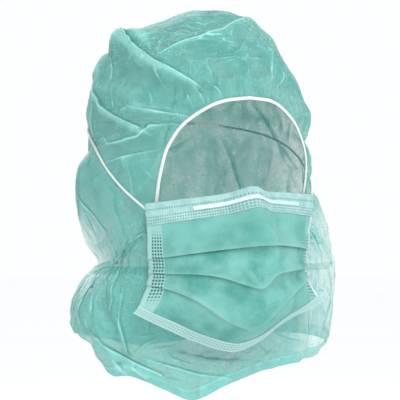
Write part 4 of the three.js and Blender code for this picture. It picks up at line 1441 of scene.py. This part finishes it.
def density(form, angle):
    """How dense the cloth is, from 0 to 1: more where it is gathered, less where it is drawn out."""
    dense = FRONT_DENSITY + BACK_DENSITY * smooth(np.abs(wrapped(angle)), *BEHIND_EARS)
    at = form_point(DENSITY["angle"], depth_of(DENSITY["height"]))
    for place, reach, amount in zip(at, DENSITY["reach"], DENSITY["amount"]):
        dense += amount * np.exp(-((np.linalg.norm(form - place, axis=1) / reach) ** 2))
    return dense


# How far the simulated cloth may settle inwards and outwards, in mm
CROWN_LIMITS = (-6, 1.5)
CAPE_LOWEST = -8
CAPE_HIGHEST = 3.5
UNDER_MASK_HIGHEST = 0.2
# Distances in mm over which the settled cloth comes in, from the crown's edge, the head cord and the lap
FROM_EDGE = (2, 16)
FROM_CORD = (3, 14)
FROM_LAP = (4, 22)
# Where the mask lies over the cape, fading between two angles from the face and two depths
UNDER_MASK_ANGLES = (52, 66)
UNDER_MASK_DEPTHS = (258, 266)
UNDER_MASK_CALM = 0.7  # how much of its creases the cape loses there


class HOOD_OT_crown(Operator):
    """Make the crown, the see-through cloth over the top, sides and back of the head"""

    bl_idname = "hood.crown"
    bl_label = "Crown"

    def execute(self, context):
        settings = context.scene.hood_cloth
        stand = settings.middle / MM
        piece, across, down = flat_grid("crown_cloth", CROWN_CELLS, CROWN_CELLS)
        start, t = crown_layout(across, down)
        points, angle, depth, from_edge = crown_points(start, t, stand)
        form = form_point(angle, depth)
        rise, shown, cord = cloth_detail(form, angle, from_edge, settings)
        out = outward(points, across, down)
        loose = smooth(from_edge, *FROM_EDGE) * smooth(cord, *FROM_CORD)
        points = settled(points, across, down, self.slack(settings), out, loose, *CROWN_LIMITS)
        points += out * rise[:, None]
        shown["fold"] += settings.crest_shade * crests(points, across, down)
        turn = np.radians(start)
        flat = np.stack([depth * np.sin(turn), -depth * np.cos(turn)], -1)
        shape_grid(piece, points, flat, dense=density(form, angle), **shown)
        thicken(piece, settings.thickness / MM)
        finish_piece(piece, hood_cloth("crown_nonwoven", settings), "hood_crown")
        return {"FINISHED"}

    def slack(self, settings):
        """How the slack cloth settles between the face elastic, the lap and the head cord."""
        across, down = grid_places(CROWN_SIM_CELLS, CROWN_SIM_CELLS)
        start, t = crown_layout(across, down)
        points, angle, depth, from_edge = crown_points(start, t, settings.middle / MM)
        cord = beside_line(form_point(angle, depth), cord_rows(), [])[0]
        held = np.maximum(np.where(from_edge < 5, 1.0, LOOSE_HOLD), np.where(cord < 4, 0.8, 0))
        sizes = (CROWN_CELLS, CROWN_CELLS)
        return slack_movement(points, across, down, held, settings.slack, sizes, ring=False)


# How much the lap shows as doubled cloth, round the cape
LAP_SHOWN = table("angle share", (-180, 0.5), (-90, 0.9), (0, 0.55), (50, 0.05), (130, 0.05), (180, 0.5))
LAP_EDGE = 6  # how far down the cape the doubled cloth shows
HEM_LINE = {"reach": 1.4, "rise": 0.5, "double": 0.3}  # the ridge along the turned hem's upper edge, in mm
HEM_DOUBLE = 0.5
HEM_SHOWN = {"angles": (60, 100), "behind": 0.3}  # the share of it that shows behind these angles
HEM_WAVE = {"rise": 0.7, "size": 16, "reach": 9}  # the waves of the hem's lower edge, in mm
CAPE_WIDTH = 1.7  # mm of the cape laid flat for each degree round it


class HOOD_OT_cape(Operator):
    """Make the cape, the loose cloth from the crown down over the neck to the hem"""

    bl_idname = "hood.cape"
    bl_label = "Cape"

    def execute(self, context):
        settings = context.scene.hood_cloth
        stand = settings.middle / MM
        piece, across, down = flat_grid("cape_cloth", *CAPE_CELLS)
        points, angle, depth, from_top, from_hem = cape_points(across, down, stand)
        form = form_point(angle, depth)
        rise, shown, _ = cloth_detail(form, angle, from_top, settings)
        hem = settings.hem_width / MM
        at_hem = np.exp(-(((from_hem - hem) / HEM_LINE["reach"]) ** 2))
        turned = wrapped(angle)
        lap = np.interp(turned, LAP_SHOWN["angle"], LAP_SHOWN["share"])
        doubled = HEM_DOUBLE * (from_hem < hem) + HEM_LINE["double"] * at_hem
        doubled *= mix(1, HEM_SHOWN["behind"], smooth(np.abs(turned), *HEM_SHOWN["angles"]))
        shown["fold"] += doubled + lap * (from_top < LAP_EDGE)
        wave = HEM_WAVE["rise"] * noise_at(form, HEM_WAVE["size"], SEED + 5)
        rise += HEM_LINE["rise"] * at_hem + wave * np.exp(-from_hem / HEM_WAVE["reach"])
        out = outward(points, across, down, ring=True)
        beside_mask = smooth(np.abs(turned), *UNDER_MASK_ANGLES)
        under_mask = (1 - beside_mask) * (1 - smooth(depth, *UNDER_MASK_DEPTHS))
        limits = (CAPE_LOWEST, mix(CAPE_HIGHEST, UNDER_MASK_HIGHEST, under_mask))
        loose = smooth(from_top, *FROM_LAP)
        points = settled(points, across, down, self.slack(settings), out, loose, *limits)
        points += out * (rise * (1 - UNDER_MASK_CALM * under_mask))[:, None]
        shown["fold"] += settings.crest_shade * crests(points, across, down, ring=True)
        flat = np.stack([angle * CAPE_WIDTH, depth], -1)
        shape_grid(piece, points, flat, dense=density(form, angle), **shown)
        close_seam(piece)
        thicken(piece, settings.thickness / MM)
        finish_piece(piece, hood_cloth("cape_nonwoven", settings), "neck_cape")
        return {"FINISHED"}

    def slack(self, settings):
        """How the slack cloth settles below the lap and the face elastic."""
        columns, rows = CAPE_SIM_CELLS
        across, down = grid_places(columns, rows)
        points, _, _, from_top, _ = cape_points(across, down, settings.middle / MM)
        seam = (across < 0.5 / columns) | (across > 1 - 0.5 / columns)
        held = np.where((from_top < 6) | seam, 1.0, LOOSE_HOLD)
        return slack_movement(points, across, down, held, settings.slack, CAPE_CELLS, ring=True)


def tube(name, middle, side, out, width, height, sides, closed):
    """A tube along points, given its sideways and outward directions; its UV map runs round and along."""
    count = len(middle)
    piece, across, down = flat_grid(name, sides, count - 1)
    index = np.round(down * (count - 1)).astype(int)
    turn = 2 * np.pi * across
    across_part = (np.cos(turn) * width / 2)[:, None] * side[index]
    out_part = (np.sin(turn) * height / 2)[:, None] * out[index]
    steps = np.linalg.norm(np.diff(middle, axis=0), axis=1)
    along = np.concatenate([[0], np.cumsum(steps)])
    points = middle[index] + across_part + out_part
    shape_grid(piece, points, np.stack([turn, along[index]], -1))
    close_seam(piece)
    if not closed:
        choose(piece)
        bpy.ops.object.mode_set(mode="EDIT")
        bpy.ops.mesh.select_all(action="SELECT")
        bpy.ops.mesh.fill_holes(sides=0)
        bpy.ops.object.mode_set(mode="OBJECT")
    close_seam(piece, solid=True)
    return piece


class HOOD_OT_face_elastic(Operator):
    """Make the elastic that gathers the cloth round the face opening"""

    bl_idname = "hood.face_elastic"
    bl_label = "Face elastic"

    def execute(self, context):
        settings = context.scene.hood_elastics
        cloth = context.scene.hood_cloth
        place = np.linspace(-CHIN, CHIN, FACE_POINTS)
        angle, depth = opening_sides(np.abs(place), place < 0)
        stand = cloth.middle / MM + cloth.thickness / MM / 2 + settings.face_thickness / MM / 2
        middle = hood_point(angle, depth, stand)
        middle[-1] = middle[0]
        run = np.gradient(middle, axis=0)
        run[0] = run[-1] = middle[1] - middle[-2]
        out = hood_normal(angle, depth)
        out[-1] = out[0] = unit(out[0] + out[-1])
        side = unit(np.cross(unit(run), out))
        sizes = (settings.face_width / MM, settings.face_thickness / MM)
        piece = tube("face_elastic", middle, side, out, *sizes, CORD_SIDES, closed=True)
        knit = elastic_rib("face_elastic_knit", settings, 1.3, 0.72)
        finish_piece(piece, knit, "face_binding")
        return {"FINISHED"}


CORD_START = (0.985, 5.0)  # where the head cord comes out of the mask, across and down it
CORD_GAP = 0.15  # between the head cord and the cloth under it, in mm
CORD_EASING = 400  # how often the cord's line is evened out


class HOOD_OT_head_cord(Operator):
    """Make the elastic cord from the mask's top corners round the back of the head"""

    bl_idname = "hood.head_cord"
    bl_label = "Head cord"

    def execute(self, context):
        settings = context.scene.hood_elastics
        cloth = context.scene.hood_cloth
        size = settings.cord / MM
        stand = (cloth.middle + cloth.thickness / 2) / MM + size / 2 + CORD_GAP
        ends = []
        for sign in (-1, 1):
            corner = panel_off(np.array([CORD_START[0] * sign]), np.array([CORD_START[1]]), np.zeros(1))
            angle = np.linspace(ELASTIC_LINE["angle"][0], 180, 15)
            height = read(ELASTIC_LINE, "angle", angle, "height")
            ends.append(np.concatenate([corner, hood_point(sign * angle, depth_of(height), stand)]))
        route = np.concatenate([ends[0], ends[1][-2::-1]])
        run = np.concatenate([[0], np.cumsum(np.linalg.norm(np.diff(route, axis=0), axis=1))])
        rows = {"run": run, "x": route[:, 0], "y": route[:, 1], "z": route[:, 2]}
        dense = np.linspace(0, run[-1], CORD_POINTS)
        middle = np.stack([read(rows, "run", dense, axis) for axis in "xyz"], -1)
        for _ in range(CORD_EASING):
            middle[1:-1] = (middle[:-2] + 2 * middle[1:-1] + middle[2:]) / 4
        along = unit(np.gradient(middle, axis=0))
        out = unit(np.cross((0.0, 0.0, 1.0), along))
        side = unit(np.cross(out, along))
        piece = tube("head_cord", middle, side, out, size, size, CORD_SIDES, closed=False)
        braid = elastic_rib("head_cord_braid", settings, 1.6, 0.7)
        finish_piece(piece, braid, "head_elastic")
        return {"FINISHED"}


PLY_OFF = 0.5  # how far apart in mm the folded plies of a pleat lie
TUCK_ROWS = 9
# The cloth's turn at a pleat's edge: how far beyond the edge each row lies, and how many plies out
LIP = ((0.22, 1.8), (0.3, 1.5), (0.22, 1.2))


def mask_path():
    """Places down the panel's cloth: through each pleat's fold to the tuck's top and down again.

    With each place come how far it lies off the panel, how far the pleat's lip stands out there, and how
    near it is to the lip's edge, from 0 to 1.
    """
    parts = []
    start = 0.5
    for fold, stand in PLEATS:
        tuck = fold - TUCK_BACK
        outer = np.linspace(start, fold, int((fold - start) / 1.1))
        near = np.clip(1 - (fold - outer) / PLEAT_RUN, 0, 1)
        parts.append([outer, smooth(outer, tuck - 5, tuck + 2) * 2 * PLY_OFF, stand * near**1.5, near])
        for beyond, plies in LIP:
            parts.append([fold + beyond, plies * PLY_OFF, stand, 1])
        back = np.linspace(fold, tuck, TUCK_ROWS)
        behind = np.clip(1 - (fold - back) / PLEAT_RUN, 0, 1)
        parts.append([back, PLY_OFF, stand * behind**1.5, 0])
        parts.append([tuck - 0.25, PLY_OFF / 2, 0, 0])
        start = tuck
    parts.append([np.linspace(start, PANEL_LENGTH - 0.5, 46), 0, 0, 0])
    columns = [np.stack(np.broadcast_arrays(*map(np.atleast_1d, part))) for part in parts]
    return np.concatenate(columns, 1)


# Each crease of the mask, given as the hood's ridges are but with a painted highlight in place of doubled
# cloth, with places across and down the flat panel
MASK_CREASE_LINES = {
    "under_first_pleat": (-4, 7.2, 0, (-0.3, 54), (-0.16, 58), (0.02, 58), (0.12, 56)),
    "under_second_pleat": (-3.4, 5.5, 0, (0.02, 92), (0.1, 90), (0.3, 86), (0.7, 86)),
    "chin_facet": (1.4, 4, 0.6, (-0.24, 62), (-0.1, 74), (-0.02, 84)),
    "right_facet": (1, 4.3, 0.4, (-0.7, 70), (-0.45, 66), (-0.2, 62)),
    "low_ridge": (1.2, 4, 0.6, (-0.8, 93), (-0.59, 102), (-0.39, 110), (-0.2, 117)),
    "middle_facet": (1, 4.3, 0.4, (-0.5, 92), (-0.3, 96), (-0.08, 106)),
    "left_facet": (1, 4.3, 0.4, (0.3, 52), (0.42, 64), (0.6, 74)),
    "left_low_crease": (-0.9, 3, 0, (0.3, 106), (0.5, 100), (0.8, 95)),
}
MASK_CREASES = [crease("across down", *line) for line in MASK_CREASE_LINES.values()]


def mask_detail(form, settings):
    """The panel's soft creases, and how strongly a highlight is painted along their ridges."""
    rise = settings.crumple / MM * (noise_at(form, 26, SEED + 7) + crumpled(form, 30, SEED + 8))
    # For the mask, double is how strongly the painted highlight shows along a ridge
    double = np.zeros(len(form))
    for rows in MASK_CREASES:
        at = plain_panel(rows["across"], rows["down"])
        out = panel_normal(rows["across"], rows["down"])
        best, _, found = beside_line(form, rows, ["rise", "double"], at, out)
        rise += found["rise"] * np.exp(-(best**2))
        double = np.maximum(double, found["double"] * np.exp(-((best / 0.5) ** 2)))
    return rise, double


COLUMN_SPREAD = 1.12  # above 1 the panel's columns stand closer together at its middle
LIP_FADE = 0.3  # the share of the panel's half width over which a pleat's lip dies out at its side
LIP_HIGHLIGHT = 0.7  # how strong the painted highlight along a pleat's lip is
LIP_SHARP = 9  # the higher, the narrower the lip's painted highlight is


class HOOD_OT_mask_panel(Operator):
    """Make the mask's pleated panel"""

    bl_idname = "hood.mask_panel"
    bl_label = "Mask panel"

    def execute(self, context):
        settings = context.scene.mask_cloth
        path, off, lip, near = mask_path()
        piece, column, row = flat_grid("mask_panel", MASK_COLUMNS, len(path) - 1)
        index = np.round(row * (len(path) - 1)).astype(int)
        down = path[index]
        width = column * 2 - 1
        across = np.sign(width) * np.abs(width) ** COLUMN_SPREAD
        worn = drawn(across, down)
        form = plain_panel(across, worn)
        # fold here is the painted highlight along the creases' ridges and the pleats' lips
        rise, fold = mask_detail(form, settings)
        fold = np.maximum(fold, LIP_HIGHLIGHT * near[index] ** LIP_SHARP)
        edge = smooth(1 - np.abs(across), 0, LIP_FADE)
        points = panel_off(across, worn, off[index] + rise + lip[index] * edge)
        shape_grid(piece, points, np.stack([panel_run(across), down], -1), fold=fold)
        thicken(piece, settings.thickness / MM)
        finish_piece(piece, mask_cloth("mask_three_ply", settings), "mask_body")
        return {"FINISHED"}


STRIP_GAP = 0.16  # between a strip and the panel inside it, in mm


def folded_strip(name, edge, reach, settings):
    """A strip folded over an edge of the panel: edge is down the panel, and reach is where it ends."""
    away = 1 if edge > reach else -1
    off = (settings.thickness / 2 + settings.strip_thickness / 2) / MM + STRIP_GAP
    face = np.linspace(reach, edge, STRIP_ROWS)
    turn = np.radians([60, 30, 0, -30, -60])
    down = np.concatenate([face, edge + away * off * np.cos(turn), face[::-1]])
    stand = np.concatenate([np.full(STRIP_ROWS, off), off * np.sin(turn), np.full(STRIP_ROWS, -off)])
    piece, column, row = flat_grid(name, STRIP_COLUMNS, len(down) - 1)
    if away > 0:
        column = 1 - column
    index = np.round(row * (len(down) - 1)).astype(int)
    across = column * 2 - 1
    place = down[index]
    form = plain_panel(across, np.clip(place, 0.5, PANEL_LENGTH - 0.5))
    rise, fold = mask_detail(form, settings)
    points = panel_off(across, place, stand[index] + rise)
    shape_grid(piece, points, np.stack([panel_run(across), np.abs(place - edge)], -1), fold=fold)
    thicken(piece, settings.strip_thickness / MM)
    return piece


STRIP_INSET = 0.3  # how far inside the panel's edges the strips are folded
# Rows of weld dots on the strips, in mm from the mask's edge
TOP_WELDS = (4.6, 10.2, 12.5, 14.8)
BOTTOM_WELDS = (2.4, 4.9, 7.4)


class HOOD_OT_mask_strips(Operator):
    """Make the two strips folded over the mask's top and bottom edges"""

    bl_idname = "hood.mask_strips"
    bl_label = "Mask edge strips"

    def execute(self, context):
        settings = context.scene.mask_cloth
        top = folded_strip("mask_top_strip", STRIP_INSET, TOP_BINDING, settings)
        cloth = strip_cloth("top_strip_nonwoven", settings, TOP_WELDS, 0.0)
        finish_piece(top, cloth, "mask_top_binding")
        lower_edge = PANEL_LENGTH - STRIP_INSET
        bottom = folded_strip("mask_bottom_strip", lower_edge, PANEL_LENGTH - BOTTOM_BINDING, settings)
        cloth = strip_cloth("bottom_strip_nonwoven", settings, BOTTOM_WELDS, 0.5)
        finish_piece(bottom, cloth, "mask_bottom_binding")
        return {"FINISHED"}


# Where the nose strip begins and ends across the mask, and its middle down it, height and thickness in mm
NOSE_STRIP = {"from": -0.58, "to": 0.72, "middle": 8.2, "height": 3.2, "thickness": 0.7}
NOSE_GAP = 0.3


class HOOD_OT_nose_strip(Operator):
    """Make the bendable strip that shapes the mask over the nose"""

    bl_idname = "hood.nose_strip"
    bl_label = "Nose strip"

    def execute(self, context):
        settings = context.scene.mask_cloth
        across = np.linspace(NOSE_STRIP["from"], NOSE_STRIP["to"], 141)
        down = np.full(len(across), NOSE_STRIP["middle"])
        form = plain_panel(across, down)
        under = (settings.thickness / 2 + settings.strip_thickness) / MM
        stand = under + NOSE_GAP + NOSE_STRIP["thickness"] / 2
        middle = panel_off(across, down, stand + mask_detail(form, settings)[0])
        out = panel_normal(across, down)
        side = unit(np.cross(out, unit(np.gradient(middle, axis=0))))
        sizes = (NOSE_STRIP["height"], NOSE_STRIP["thickness"])
        piece = tube("nose_wire_strip", middle, side, out, *sizes, 20, closed=False)
        finish_piece(piece, nose_plastic("nose_strip_plastic", settings), "nose_strip")
        return {"FINISHED"}


# Each lamp: its name, its place and size in metres, and its power in watts
LAMPS = (
    ("key_light", (-0.3, -1.9, 1.1), 1.2, 45),
    ("side_light", (1.9, -0.6, 0.5), 1.0, 8),
    ("back_light", (0.4, 1.9, 0.7), 1.4, 30),
)
LAMP_AIM = (0, 0, -0.15)
FLOOR_RADIUS = 14
SKY_COLOUR = (0.985, 0.992, 1.0)
LOOK_FORWARD = 0.03  # how far the view's centre is in front of the hood's axis, in metres


class HOOD_OT_stage(Operator):
    """Make the floor, the lights and the camera"""

    bl_idname = "hood.stage"
    bl_label = "Stage"

    def execute(self, context):
        settings = context.scene.hood_stage
        scene = context.scene
        choose(None)
        ground = (0, 0, -settings.floor_drop)
        bpy.ops.mesh.primitive_circle_add(
            vertices=96, radius=FLOOR_RADIUS, fill_type="NGON", location=ground
        )
        floor = bpy.context.object
        floor.name = "floor"
        bpy.ops.object.transform_apply(location=True, rotation=True, scale=True)
        floor.data.materials.append(floor_paint("floor_paint", settings))

        world = bpy.data.worlds.new("studio")
        world.use_nodes = True
        sky = world.node_tree.nodes["Background"]
        sky.inputs["Color"].default_value = (*SKY_COLOUR, 1.0)
        sky.inputs["Strength"].default_value = 1.0
        scene.world = world

        for name, place, size, power in LAMPS:
            choose(None)
            bpy.ops.object.light_add(type="AREA", location=place)
            lamp = bpy.context.object
            lamp.name = lamp.data.name = name
            lamp.data.shape = "DISK"
            lamp.data.size = size
            lamp.data.energy = power
            aim = Vector(LAMP_AIM) - Vector(place)
            lamp.rotation_euler = aim.to_track_quat("-Z", "Y").to_euler()

        turn, rise = settings.turn, settings.rise
        level = math.cos(rise)
        towards = Vector((math.sin(turn) * level, -math.cos(turn) * level, math.sin(rise)))
        right = Vector((math.cos(turn), math.sin(turn), 0))
        centre = right * settings.look_side - Vector((0, 0, settings.look_drop)) + towards * LOOK_FORWARD
        choose(None)
        bpy.ops.object.camera_add()
        camera = bpy.context.object
        camera.name = camera.data.name = "camera"
        camera.data.lens = settings.lens
        camera.data.clip_end = 40
        distance = settings.frame_width * settings.lens / camera.data.sensor_width
        camera.location = centre + towards * distance
        camera.rotation_euler = (-towards).to_track_quat("-Z", "Y").to_euler()
        scene.camera = camera
        scene.view_settings.view_transform = "Standard"
        return {"FINISHED"}


class HOOD_PT_pieces(Panel):
    """Lists the hood's pieces and settings in the sidebar"""

    bl_idname = "HOOD_PT_pieces"
    bl_label = "Surgical hood"
    bl_space_type = "VIEW_3D"
    bl_region_type = "UI"
    bl_category = "Hood"

    def draw(self, context):
        for name in SETTINGS:
            box = self.layout.box()
            group = getattr(context.scene, name)
            for prop in group.bl_rna.properties:
                if prop.identifier not in ("name", "rna_type"):
                    box.prop(group, prop.identifier)
        for operator in OPERATORS:
            self.layout.operator(operator.bl_idname)


SETTINGS = {
    "hood_cloth": HoodCloth,
    "mask_cloth": MaskCloth,
    "hood_elastics": HoodElastics,
    "hood_stage": HoodStage,
}
OPERATORS = (
    HOOD_OT_crown,
    HOOD_OT_cape,
    HOOD_OT_face_elastic,
    HOOD_OT_mask_panel,
    HOOD_OT_mask_strips,
    HOOD_OT_nose_strip,
    HOOD_OT_head_cord,
    HOOD_OT_stage,
)


def register():
    for group in (*SETTINGS.values(), *OPERATORS, HOOD_PT_pieces):
        bpy.utils.register_class(group)
    for name, group in SETTINGS.items():
        setattr(bpy.types.Scene, name, PointerProperty(type=group))


def unregister():
    for name in SETTINGS:
        delattr(bpy.types.Scene, name)
    for group in (HOOD_PT_pieces, *reversed(OPERATORS), *SETTINGS.values()):
        bpy.utils.unregister_class(group)


def main():
    register()
    bpy.ops.hood.crown()
    bpy.ops.hood.cape()
    bpy.ops.hood.face_elastic()
    bpy.ops.hood.mask_panel()
    bpy.ops.hood.mask_strips()
    bpy.ops.hood.nose_strip()
    bpy.ops.hood.head_cord()
    bpy.ops.hood.stage()


if __name__ == "__main__":
    main()
